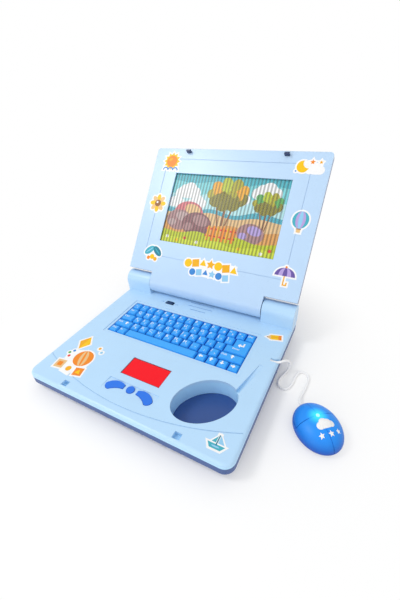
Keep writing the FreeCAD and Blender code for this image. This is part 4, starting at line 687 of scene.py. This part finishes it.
class Print:
    """Thin closed layers on a plane, joined in one piece."""

    def __init__(self, plane):
        self.plane = plane
        self.made = bmesh.new()
        self.finishes = []

    def layer(self, points, low, high, finish):
        """One outline as a closed slab between two heights."""
        if finish not in self.finishes:
            self.finishes.append(finish)
        index = self.finishes.index(finish)
        bottom = [self.made.verts.new(self.plane.at(x, y, low)) for x, y in points]
        top = [self.made.verts.new(self.plane.at(x, y, high)) for x, y in points]
        faces = [self.made.faces.new(bottom[::-1]), self.made.faces.new(top)]
        count = len(points)
        for i in range(count):
            j = (i + 1) % count
            faces.append(self.made.faces.new((bottom[i], bottom[j], top[j], top[i])))
        for face in faces:
            face.material_index = index

    def words(self, text, size, x, y, low, high, finish):
        """Plain lettering as closed slabs, its lower left corner at a point."""
        if finish not in self.finishes:
            self.finishes.append(finish)
        index = self.finishes.index(finish)
        curve = bpy.data.curves.new("words", "FONT")
        curve.body = text
        curve.size = size
        curve.resolution_u = LETTER_STEPS
        # Any depth will do, because front and back are set to their heights below
        curve.extrude = 0.5
        holder = bpy.data.objects.new("words", curve)
        bpy.context.scene.collection.objects.link(holder)
        bpy.context.view_layer.update()
        evaluated = holder.evaluated_get(bpy.context.evaluated_depsgraph_get())
        mesh = bpy.data.meshes.new_from_object(evaluated)
        bpy.data.objects.remove(holder)
        bpy.data.curves.remove(curve)
        verts = [self.made.verts.new(self.plane.at(x + v.co.x, y + v.co.y, high if v.co.z > 0 else low))
                 for v in mesh.vertices]
        for face in mesh.polygons:
            made = self.made.faces.new([verts[i] for i in face.vertices])
            made.material_index = index
        bpy.data.meshes.remove(mesh)

    def close(self, name, body, slot):
        """Finish the mesh and hang it on a body."""
        bmesh.ops.recalc_face_normals(self.made, faces=self.made.faces)
        mesh = bpy.data.meshes.new(name)
        self.made.to_mesh(mesh)
        self.made.free()
        return add_piece(name, mesh, self.finishes, body)


def add_sticker(name, plane, place, size, body, shapes):
    """A die-cut sticker: a white backing round all its shapes, then each shape in its ink."""
    x, y = place
    made = Print(plane)
    outlines = [[(x + size * u, y + size * v) for u, v in points] for points, ink in shapes]
    for i, outline in enumerate(outlines):
        backing_top = STICKER_BACKING + i * BACKING_STEP
        made.layer(grown(outline, STICKER_BORDER), 0.0, backing_top, STICKER_INKS["white"])
    for i, (outline, (points, ink)) in enumerate(zip(outlines, shapes)):
        ink_top = STICKER_BACKING + STICKER_INK * (i + 1.5)
        made.layer(outline, STICKER_BACKING / 2, ink_top, STICKER_INKS[ink])
    made.close(name, body, "light_blue_casing")


def cloud(x, y, size, ink="white"):
    """A cloud of four round puffs, size across."""
    puffs = ((-0.3, -0.02, 0.2), (0.3, -0.04, 0.18), (-0.06, 0.08, 0.26), (0.14, 0.04, 0.22))
    shapes = [(disc(x + u * size, y + v * size, r * size), ink) for u, v, r in puffs]
    return shapes + [(ellipse(x, y - 0.12 * size, 0.46 * size, 0.1 * size), ink)]


def sun_sticker():
    """A round orange sun over a blue wave."""
    shapes = [(star(0, 2, 15, 11, 12), "yellow"), (disc(0, 2, 9.5), "orange"),
              (ellipse(-3, 5, 3.4, 2.2, 35), "gold")]
    for i in range(3):
        shapes.append((arch(-9 + 9 * i, -13, 5.4, 3.4), "blue"))
    return shapes


def flower_sticker(petal, second, heart):
    """A flower of eight petals in two inks."""
    shapes = []
    for i in range(8):
        a = 2 * math.pi * i / 8
        ink = second if i % 2 else petal
        shapes.append((ellipse(8 * math.cos(a), 8 * math.sin(a), 5.6, 3.4, math.degrees(a)), ink))
    return shapes + [(disc(0, 0, 5.2), heart), (disc(-1.2, 1.4, 1.6), "white")]


def leaf_sticker():
    """Two leaves on a stalk with round berries."""
    return [(ellipse(-6, 3, 8.2, 4.2, 40), "teal"), (ellipse(6, 3, 8.2, 4.2, 140), "deep_teal"),
            (ellipse(-6, 3, 6.0, 0.7, 40), "pale_blue"), (ellipse(6, 3, 6.0, 0.7, 140), "teal"),
            (disc(0, -5, 3.4), "yellow"), (disc(-5.4, -7, 2.4), "orange"), (disc(5.2, -7.4, 2.6), "gold")]


def umbrella_sticker():
    """A purple umbrella with a yellow handle."""
    return [(block(0, -5, 1.8, 16), "gold"), (block(2.2, -12.2, 6.2, 1.8), "gold"),
            (block(4.4, -10.6, 1.8, 4.6), "gold"), (half_ellipse(0, 0, 14, 11.5), "purple"),
            (half_ellipse(0, 0, 8.6, 11.5), "lilac"), (half_ellipse(0, 0, 3, 11.5), "purple"),
            (disc(0, 12.4, 1.5), "orange")]


def balloon_sticker():
    """A teal balloon with lilac stripes and its basket."""
    return [(ellipse(0, 4, 11, 12), "teal"), (ellipse(0, 4, 6.6, 12), "lilac"),
            (ellipse(0, 4, 2.8, 12), "pale_blue"), (block(0, -11.4, 5.6, 4.4), "tan"),
            (block(0, -8.6, 6.6, 1.2), "brown")]


def moon_sticker():
    """A yellow moon with stars and a white cloud."""
    shapes = [(ellipse(-4, 0, 9, 8), "white")] + cloud(10, -4, 26, "white")
    shapes += [(crescent(-10, 0, 10, 35), "yellow"), (star(4, 8, 4.6, 2.0, 5), "orange"),
               (star(17, 8, 3.2, 1.4, 5), "gold"), (disc(-20, -8, 1.4), "blue")]
    return shapes


def shapes_banner():
    """Two rows of plain shapes, yellow above and blue below, on one white ground."""
    shapes = [(block(0, 4.6, 80, 9), "white"), (block(0, -7.6, 58, 8), "white")]
    kinds = (disc, lambda x, y, r: block(x, y, 1.8 * r, 1.8 * r, 12), triangle,
             lambda x, y, r: star(x, y, 1.15 * r, 0.6 * r, 5))
    rows = ((7, 12.6, 6.4, 6.4, ("yellow", "gold")), (6, 11.0, -7.4, 5.2, ("blue", "pale_blue")))
    for count, pitch, height, radius, inks in rows:
        for i in range(count):
            x = pitch * (i - (count - 1) / 2)
            y = height - BANNER_SAG * x * x
            shapes.append((kinds[i % 4](x, y, radius), inks[i % 2]))
    return shapes


def toys_sticker():
    """A kite, a striped ball and building blocks, with loose dots."""
    shapes = [(ellipse(0, -12, 18, 17), "white"),
              ([(-15, 5), (-6, 18), (-15, 30), (-24, 18)], "yellow"),
              ([(-15, 5), (-15, 30), (-24, 18)], "gold"),
              (disc(5, -6, 13.5), "orange"), (ellipse(5, -6, 5.6, 13.5, 20), "tan"),
              (ellipse(5, -6, 1.6, 13.5, 20), "orange"),
              (block(-17, -25, 13, 13, 8), "tan"), (block(-17, -25, 7, 7, 8), "orange"),
              (block(0, -27, 13, 13, -6), "white"), (disc(0, -27, 4), "gold"),
              (block(16, -26, 12, 12, 14), "orange"), (triangle(16, -26.6, 4.4), "yellow")]
    dots = ((-17, 0, "blue"), (-21, -5, "green"), (-17, -10, "red"), (20, 12, "pale_blue"),
            (13, 17, "gold"))
    shapes += [(disc(x, y, 2.0), ink) for x, y, ink in dots]
    return shapes


def pencil_sticker():
    """A short yellow pencil."""
    return [(block(1, 0, 10, 9, 14), "yellow"), (block(1, 0, 10, 3, 14), "gold"),
            (block(7.6, 1.6, 4.0, 9, 14), "orange"),
            ([(-9.4, -2.6), (-2.8, -5.6), (-4.9, 3.2)], "tan"),
            ([(-9.4, -2.6), (-7.2, -3.6), (-7.9, -0.7)], "brown")]


def boat_sticker():
    """A teal sailing boat."""
    return [([(-13, -4), (-8, -11), (8, -11), (13, -4)], "teal"), (block(0, 2, 1.8, 16), "deep_teal"),
            ([(1.6, -2), (11, -2), (1.6, 10)], "pale_blue"), ([(-8, -2), (-1.6, -2), (-1.6, 8)], "teal"),
            (ellipse(0, -7.4, 6, 1.2), "pale_blue")]


def add_stickers():
    """All the stickers of the lid and the deck, each with its place and its size."""
    lid = (("sun", (-107.5, 197.0), 1.0, sun_sticker()),
           ("sunflower", (-115.0, 127.5), 1.1, flower_sticker("yellow", "tan", "brown")),
           ("leaves", (-101.0, 45.0), 1.25, leaf_sticker()),
           ("banner", (5.0, 37.0), 1.0, shapes_banner()),
           ("umbrella", (115.0, 47.5), 1.0, umbrella_sticker()),
           ("balloon", (118.0, 122.0), 1.0, balloon_sticker()),
           ("moon", (112.0, 199.4), 0.84, moon_sticker()))
    deck = (("toys", (-94.0, -65.0), 1.0, toys_sticker()),
            ("pencil", (122.0, 67.0), 1.0, pencil_sticker()),
            ("boat", (117.5, -99.0), 0.72, boat_sticker()))
    for name, place, size, shapes in lid:
        add_sticker("sticker_" + name, LID, place, size, "lid", shapes)
    for name, place, size, shapes in deck:
        add_sticker("sticker_" + name, DECK, place, size, "base", shapes)


def tree(x, y, size, inks):
    """A tree of round leaf clumps on a thin forked trunk, size across."""
    shapes = [(block(x - 0.10 * size, y - 0.52 * size, 0.035 * size, 0.62 * size, 12), "brown"),
              (block(x + 0.12 * size, y - 0.54 * size, 0.035 * size, 0.58 * size, -14), "brown"),
              (block(x, y - 0.62 * size, 0.05 * size, 0.62 * size, 0), "brown")]
    rings = ((0.34, 0.24, 9, 0.14), (0.24, 0.15, 7, 0.12), (0.10, 0.08, 4, 0.10))
    for k, (reach, rise, count, clump) in enumerate(rings):
        for i in range(count):
            a = 2 * math.pi * (i + 0.4 * k) / count
            ink = inks[0] if math.sin(a) < -0.3 else inks[1 + (i + k) % (len(inks) - 1)]
            shapes.append((ellipse(x + reach * size * math.cos(a), y + rise * size * math.sin(a),
                                   clump * size, 0.8 * clump * size, 25 * i), ink))
    return shapes


def boulder(x, y, size, ink, light):
    """A rounded rock with a lighter top."""
    return [(ellipse(x, y, 0.5 * size, 0.36 * size, 6), ink),
            (ellipse(x - 0.12 * size, y + 0.12 * size, 0.28 * size, 0.16 * size, 14), light),
            (ellipse(x + 0.26 * size, y - 0.10 * size, 0.16 * size, 0.12 * size), light)]


def fence(x, y, count):
    """Upright posts with pointed tops and two rails."""
    pitch, width, height = 8.0, 4.6, 24.0
    middle = x + pitch * (count - 1) / 2
    shapes = [(block(middle, y + rise, pitch * count + 2, 2.6, 1), "red") for rise in (-5, 6)]
    for i in range(count):
        left = x + i * pitch - width / 2
        right = left + width
        shapes.append(([(left, y - height / 2), (right, y - height / 2), (right, y + height / 2 - 3),
                        (left + width / 2, y + height / 2), (left, y + height / 2 - 3)],
                       ("orange", "gold")[i % 2]))
    return shapes


def picture_shapes(left, right, low):
    """The landscape from back to front: sky, clouds, hills, trees, rocks, fence and grass."""
    shapes = [(hill(left, right, low, (168, 172, 166, 171, 167, 170)), "bright_sky"),
              (hill(left, right, low, (146, 150, 144, 152, 147, 149)), "pale_sky")]
    for x, y, size in ((-62, 160, 46), (-20, 148, 40), (66, 152, 46), (46, 136, 34), (84, 134, 34)):
        shapes += cloud(x, y, size)
    shapes += [(hill(left, right, low, (124, 130, 122, 128, 120, 126)), "teal"),
               (hill(left, right, low, (117, 121, 116, 122, 114, 118)), "tan")]
    shapes += tree(-68, 144, 50, ("moss", "olive", "green", "lime"))
    shapes += tree(-4, 152, 74, ("moss", "olive", "gold", "lime"))
    shapes += [(hill(left, right, low, (104, 100, 106, 101, 105, 102)), "sand")]
    shapes += boulder(56, 118, 52, "pink", "tan")
    shapes += boulder(70, 106, 46, "stone", "pale_stone")
    shapes += boulder(38, 102, 52, "maroon", "stone")
    shapes += boulder(-52, 98, 42, "stone", "lilac")
    shapes += [(hill(left, right, low, (88, 84, 90, 85, 91, 86, 89)), "lime")]
    shapes += fence(-26, 92, 6)
    shapes += [(hill(left, right, low, (76, 79, 74, 80, 75, 78, 77)), "bright_lime")]
    blooms = ((-86, 78, "red"), (-74, 72, "white"), (-40, 74, "yellow"), (30, 74, "white"), (52, 78, "red"),
              (66, 73, "yellow"), (84, 77, "white"))
    shapes += [(star(x, y, 3.4, 2.0, 6), ink) for x, y, ink in blooms]
    return shapes


def add_picture():
    """The printed card behind the ribbed sheet: a plain landscape in flat inks, with painted shade at the
    sheet's grooves.
    """
    left, right = -SCREEN_HALF - CARD_OVERLAP, SCREEN_HALF + CARD_OVERLAP
    low, high = SCREEN_BOTTOM - CARD_OVERLAP, SCREEN_TOP + CARD_OVERLAP
    made = Print(LID)
    made.layer(block(0, (low + high) / 2, right - left, high - low), CARD_BACK, CARD_FRONT,
               CARD_INKS["sky"])
    for i, (points, ink) in enumerate(picture_shapes(left, right, low)):
        kept = [(-min(max(u, left), right), min(max(v, low), high)) for u, v in points][::-1]
        made.layer(kept, CARD_FRONT - INK_STEP, CARD_FRONT + (i + 1) * INK_STEP, CARD_INKS[ink])
    card = made.close("picture", "lid", "printed_card")
    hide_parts("picture_card")


def key_corner(row, left):
    """A key's left front corner in millimetres."""
    return KEYBOARD_LEFT + left * KEY_PITCH, KEYBOARD_FRONT + row * ROW_PITCH


def arrow(x, y, turn, length):
    """A plain arrow that points to an angle in degrees."""
    half = length / 2
    outline = ((half, 0), (0, half), (0, half / 3), (-half, half / 3), (-half, -half / 3), (0, -half / 3),
               (0, -half))
    c, s = math.cos(math.radians(turn)), math.sin(math.radians(turn))
    return [(x + u * c - v * s, y + u * s + v * c) for u, v in outline]


def add_legends():
    """White signs on the keys, one piece for each key or group of keys."""
    white = STICKER_INKS["white"]
    top = LEGEND_HEIGHT
    for node, row, start, width, signs in LEGENDS:
        made = Print(KEYS)
        for i, sign in enumerate(signs):
            x, y = key_corner(row, start + i * width)
            made.words(sign, LETTER_SIZE, x + KEY_EDGE, y + LETTER_RISE, -top, top, white)
            small = SMALL_SIGNS[(3 * row + 2 * i) % len(SMALL_SIGNS)]
            made.words(small, SIGN_SIZE, x + SIGN_PLACE[0], y + SIGN_PLACE[1], -top, top, white)
        made.close("legend_" + node, node, "key_blue")
    for node, row, left, word in WORDS:
        made = Print(KEYS)
        x, y = key_corner(row, left)
        made.words(word, WORD_SIZE, x + KEY_EDGE, y + WORD_RISE, -top, top, white)
        if "shift" in node:
            u, v = SHIFT_ARROW_PLACE
            made.layer(arrow(x + u, y + v, 90.0, ARROW_LENGTH), -top, top, white)
        if "enter" in node:
            u, v = ENTER_ARROW_PLACE
            made.layer(arrow(x + u, y + v, 180.0, ENTER_ARROW_LENGTH), -top, top, white)
            u, v = ENTER_STEM_PLACE
            made.layer(block(x + u, y + v, *ENTER_STEM_SIZE), -top, top, white)
        made.close("legend_" + node, node, "key_blue")
    for node, left, turn in ARROWS:
        made = Print(KEYS)
        x, y = key_corner(0, left)
        u, v = ARROW_PLACE
        made.layer(arrow(x + u, y + v, turn, ARROW_LENGTH), -top, top, white)
        made.close("legend_" + node, node, "key_blue")


def add_speaker_cloth_painted_shade():
    """A cloth seen in the speaker slots, its mid blue painted shade for the shade inside them."""
    made = Print(DECK)
    for y, length in SPEAKER_SLOTS:
        made.layer(block(0, y, length, SPEAKER_SLOT_WIDTH), *CLOTH_SHADE_HEIGHTS, CLOTH_PAINTED_SHADE)
    made.close("speaker_cloth_painted_shade", "base", "light_blue_casing")


def add_painted_window_shadow():
    """Painted shadow: a dark red strip all round the display window, for the shade at its recessed edges.
    """
    low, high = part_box("display_window")
    middle = (low.y + high.y) / 2 / MM
    width, depth = WINDOW_SIZE
    side_layer, end_layer = WINDOW_SHADOW_LAYERS
    made = Print(DECK)
    for side in (-1, 1):
        across = side * (width - WINDOW_SHADOW_WIDTH) / 2
        along = middle + side * (depth - WINDOW_SHADOW_WIDTH) / 2
        made.layer(block(across, middle, WINDOW_SHADOW_WIDTH, depth), -WINDOW_DROP, -WINDOW_DROP + side_layer,
                   PAINTED_WINDOW_SHADOW)
        made.layer(block(0, along, width, WINDOW_SHADOW_WIDTH), -WINDOW_DROP, -WINDOW_DROP + end_layer,
                   PAINTED_WINDOW_SHADOW)
    made.close("painted_window_shadow", "base", "red_window")


def add_switch_words():
    """The words on either side of the power switch."""
    made = Print(DECK)
    for word, x in SWITCH_WORDS:
        made.words(word, SWITCH_WORD_SIZE, x, SWITCH_WORDS_Y, -LEGEND_HEIGHT, LEGEND_HEIGHT,
                   STICKER_INKS["blue"])
    made.close("switch_marks", "base", "dark_blue_switch")


def mouse_point(along, aside, lift):
    """A point on the mouse's back in metres, lifted off it by millimetres."""
    turn = math.radians(MOUSE_ANGLE)
    share = 1 - (along / MOUSE_HALF[0]) ** 2 - (aside / MOUSE_HALF[1]) ** 2
    height = MOUSE_EQUATOR + MOUSE_HALF[2] * math.sqrt(max(share, 0.0)) + lift
    x = MOUSE_PLACE[0] + along * math.cos(turn) - aside * math.sin(turn)
    y = MOUSE_PLACE[1] + along * math.sin(turn) + aside * math.cos(turn)
    return Vector((x, y, height)) * MM


def print_point(place, lift):
    """A point of the mouse's print: to the right across the mouse, and up towards its nose."""
    return mouse_point(PRINT_PLACE + place.y, PRINT_ASIDE - place.x, lift)


def add_mouse_print():
    """A white cloud with stars, printed on the mouse's back behind its light."""
    made = bmesh.new()
    outlines = [points for points, ink in cloud(0, 0, 19)]
    outlines += [star(-9, -9.0, 3.2, 1.5, 5), star(1, -9.6, 3.2, 1.5, 5), star(9.6, -8.6, 2.6, 1.2, 5)]
    for i, outline in enumerate(outlines):
        lift = PRINT_LIFT + PRINT_STEP * i
        middle = Vector((sum(u for u, v in outline), sum(v for u, v in outline))) / len(outline)
        rings = []
        for share in PRINT_RINGS:
            rings.append([made.verts.new(print_point(middle + share * (Vector(p) - middle), lift))
                          for p in outline])
        hub = made.verts.new(print_point(middle, lift))
        count = len(outline)
        for outer, inner in zip(rings, rings[1:]):
            for k in range(count):
                made.faces.new((outer[k], outer[(k + 1) % count], inner[(k + 1) % count], inner[k]))
        for k in range(count):
            made.faces.new((rings[-1][k], rings[-1][(k + 1) % count], hub))
    for face in made.faces:
        face.smooth = True
    mesh = bpy.data.meshes.new("mouse_print")
    made.to_mesh(mesh)
    made.free()
    piece = add_piece("mouse_print", mesh, [STICKER_INKS["white"]], "mouse")
    thick = piece.modifiers.new("thickness", "SOLIDIFY")
    thick.thickness = PRINT_THICKNESS * MM
    thick.offset = -1.0


def cord_line():
    """Points along the smooth line that the cord's route controls, in metres."""
    curve = bpy.data.curves.new("cord_line", "CURVE")
    curve.dimensions = "3D"
    curve.resolution_u = CORD_STEPS
    spline = curve.splines.new("NURBS")
    spline.points.add(len(CORD_ROUTE) - 1)
    for point, place in zip(spline.points, CORD_ROUTE):
        point.co = (place[0] * MM, place[1] * MM, place[2] * MM, 1.0)
    spline.order_u = 3
    spline.use_endpoint_u = True
    holder = bpy.data.objects.new("cord_line", curve)
    bpy.context.scene.collection.objects.link(holder)
    bpy.context.view_layer.update()
    evaluated = holder.evaluated_get(bpy.context.evaluated_depsgraph_get())
    mesh = bpy.data.meshes.new_from_object(evaluated)
    points = [vertex.co.copy() for vertex in mesh.vertices]
    bpy.data.objects.remove(holder)
    return points


def tube_mesh(name, points, radius, sides):
    """A closed tube along points, its rings carried along without twisting."""
    mesh = bpy.data.meshes.new(name)
    made = bmesh.new()
    way = (points[1] - points[0]).normalized()
    side = way.orthogonal().normalized()
    rings = []
    for i, point in enumerate(points):
        ahead = points[min(i + 1, len(points) - 1)]
        behind = points[max(i - 1, 0)]
        new_way = (ahead - behind).normalized()
        side = way.rotation_difference(new_way) @ side
        way = new_way
        across = way.cross(side)
        ring = []
        for k in range(sides):
            turn = 2 * math.pi * k / sides
            ring.append(made.verts.new(point + radius * (math.cos(turn) * side + math.sin(turn) * across)))
        rings.append(ring)
    for first, second in zip(rings, rings[1:]):
        for k in range(sides):
            other = (k + 1) % sides
            face = made.faces.new((first[k], first[other], second[other], second[k]))
            face.smooth = True
    made.faces.new(rings[0][::-1])
    made.faces.new(rings[-1])
    made.to_mesh(mesh)
    made.free()
    return mesh


def add_cord():
    """The mouse's cord, free between the notch and the mouse."""
    points = cord_line()
    mesh = tube_mesh("cord", points, CORD_DIAMETER / 2 * MM, CORD_SIDES)
    cord = add_piece("cord", mesh, [FINISHES["white_rubber"]], None)
    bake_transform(cord)
    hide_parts("mouse_cord")


def add_camera():
    """The camera where the photograph was taken from."""
    data = bpy.data.cameras.new("camera")
    data.sensor_width = SENSOR
    data.lens = SENSOR * FOCAL_PIXELS / PICTURE_HEIGHT
    data.shift_x, data.shift_y = CAMERA_SHIFT
    data.clip_start = 0.01
    camera = bpy.data.objects.new("camera", data)
    bpy.context.scene.collection.objects.link(camera)
    camera.location = CAMERA_PLACE
    camera.rotation_mode = "QUATERNION"
    aim = (CAMERA_TARGET - CAMERA_PLACE).to_track_quat("-Z", "Y")
    camera.rotation_quaternion = aim @ Quaternion((0, 0, 1), math.radians(CAMERA_ROLL))
    bpy.context.scene.camera = camera


def add_light(name, place, target, size, power):
    """A soft oblong lamp that faces a point."""
    light = bpy.data.lights.new(name, "AREA")
    light.shape = "RECTANGLE"
    light.size = size[0]
    light.size_y = size[1]
    light.energy = power
    lamp = bpy.data.objects.new(name, light)
    lamp.location = place
    lamp.rotation_euler = (Vector(target) - Vector(place)).to_track_quat("-Z", "Y").to_euler()
    bpy.context.scene.collection.objects.link(lamp)


def seen_directly(nodes, links):
    """One where the eye looks straight at a surface, in a gloss or through glass, else zero."""
    path = nodes.new("ShaderNodeLightPath")
    total = path.outputs["Is Camera Ray"]
    for other in ("Is Glossy Ray", "Is Transmission Ray"):
        step = nodes.new("ShaderNodeMath")
        step.operation = "MAXIMUM"
        links.new(total, step.inputs[0])
        links.new(path.outputs[other], step.inputs[1])
        total = step.outputs["Value"]
    return total


def add_floor():
    """A white floor that takes the object's shadow and fades to the white background."""
    mesh = bpy.data.meshes.new("floor")
    signs = ((-1, -1), (1, -1), (1, 1), (-1, 1))
    mesh.from_pydata([(a * FLOOR_REACH, b * FLOOR_REACH, 0) for a, b in signs], [], [(0, 1, 2, 3)])
    floor = bpy.data.objects.new("floor", mesh)
    bpy.context.scene.collection.objects.link(floor)
    finish = Finish("floor")
    finish.set(Base_Color=FLOOR_TINT, Roughness=0.9, Specular_IOR_Level=0.0)
    away = finish.nodes.new("ShaderNodeVectorMath")
    away.operation = "LENGTH"
    finish.link(finish.place(), away.inputs[0])
    fade = finish.nodes.new("ShaderNodeMapRange")
    fade.interpolation_type = "SMOOTHSTEP"
    fade.inputs["From Min"].default_value = FLOOR_FADE[0]
    fade.inputs["From Max"].default_value = FLOOR_FADE[1]
    finish.link(away.outputs["Value"], fade.inputs["Value"])
    share = finish.math("MULTIPLY", fade.outputs["Result"], seen_directly(finish.nodes, finish.links))
    white = finish.node("ShaderNodeEmission", Color=WHITE, Strength=1.0)
    mix = finish.nodes.new("ShaderNodeMixShader")
    finish.link(share, mix.inputs["Fac"])
    finish.link(finish.shader.outputs["BSDF"], mix.inputs[1])
    finish.link(white.outputs["Emission"], mix.inputs[2])
    finish.link(mix.outputs["Shader"], finish.nodes["Material Output"].inputs["Surface"])
    mesh.materials.append(finish.material)


def add_studio():
    """Soft even light all round, white where it is seen, and three lamps."""
    world = bpy.data.worlds.new("studio")
    world.use_nodes = True
    nodes = world.node_tree.nodes
    links = world.node_tree.links
    seen = seen_directly(nodes, links)
    strength = nodes.new("ShaderNodeMapRange")
    strength.inputs["To Min"].default_value = ROOM_LIGHT
    strength.inputs["To Max"].default_value = 1.0
    links.new(seen, strength.inputs["Value"])
    links.new(strength.outputs["Result"], nodes["Background"].inputs["Strength"])
    nodes["Background"].inputs["Color"].default_value = WHITE
    bpy.context.scene.world = world
    bpy.context.scene.view_settings.view_transform = "Standard"
    for name, place, size, power in LAMPS:
        add_light(name, place, LAMP_TARGET, size, power)


dress_nodes()
add_cord()
add_picture()
add_stickers()
add_legends()
add_speaker_cloth_painted_shade()
add_painted_window_shadow()
add_switch_words()
add_mouse_print()
add_camera()
add_floor()
add_studio()
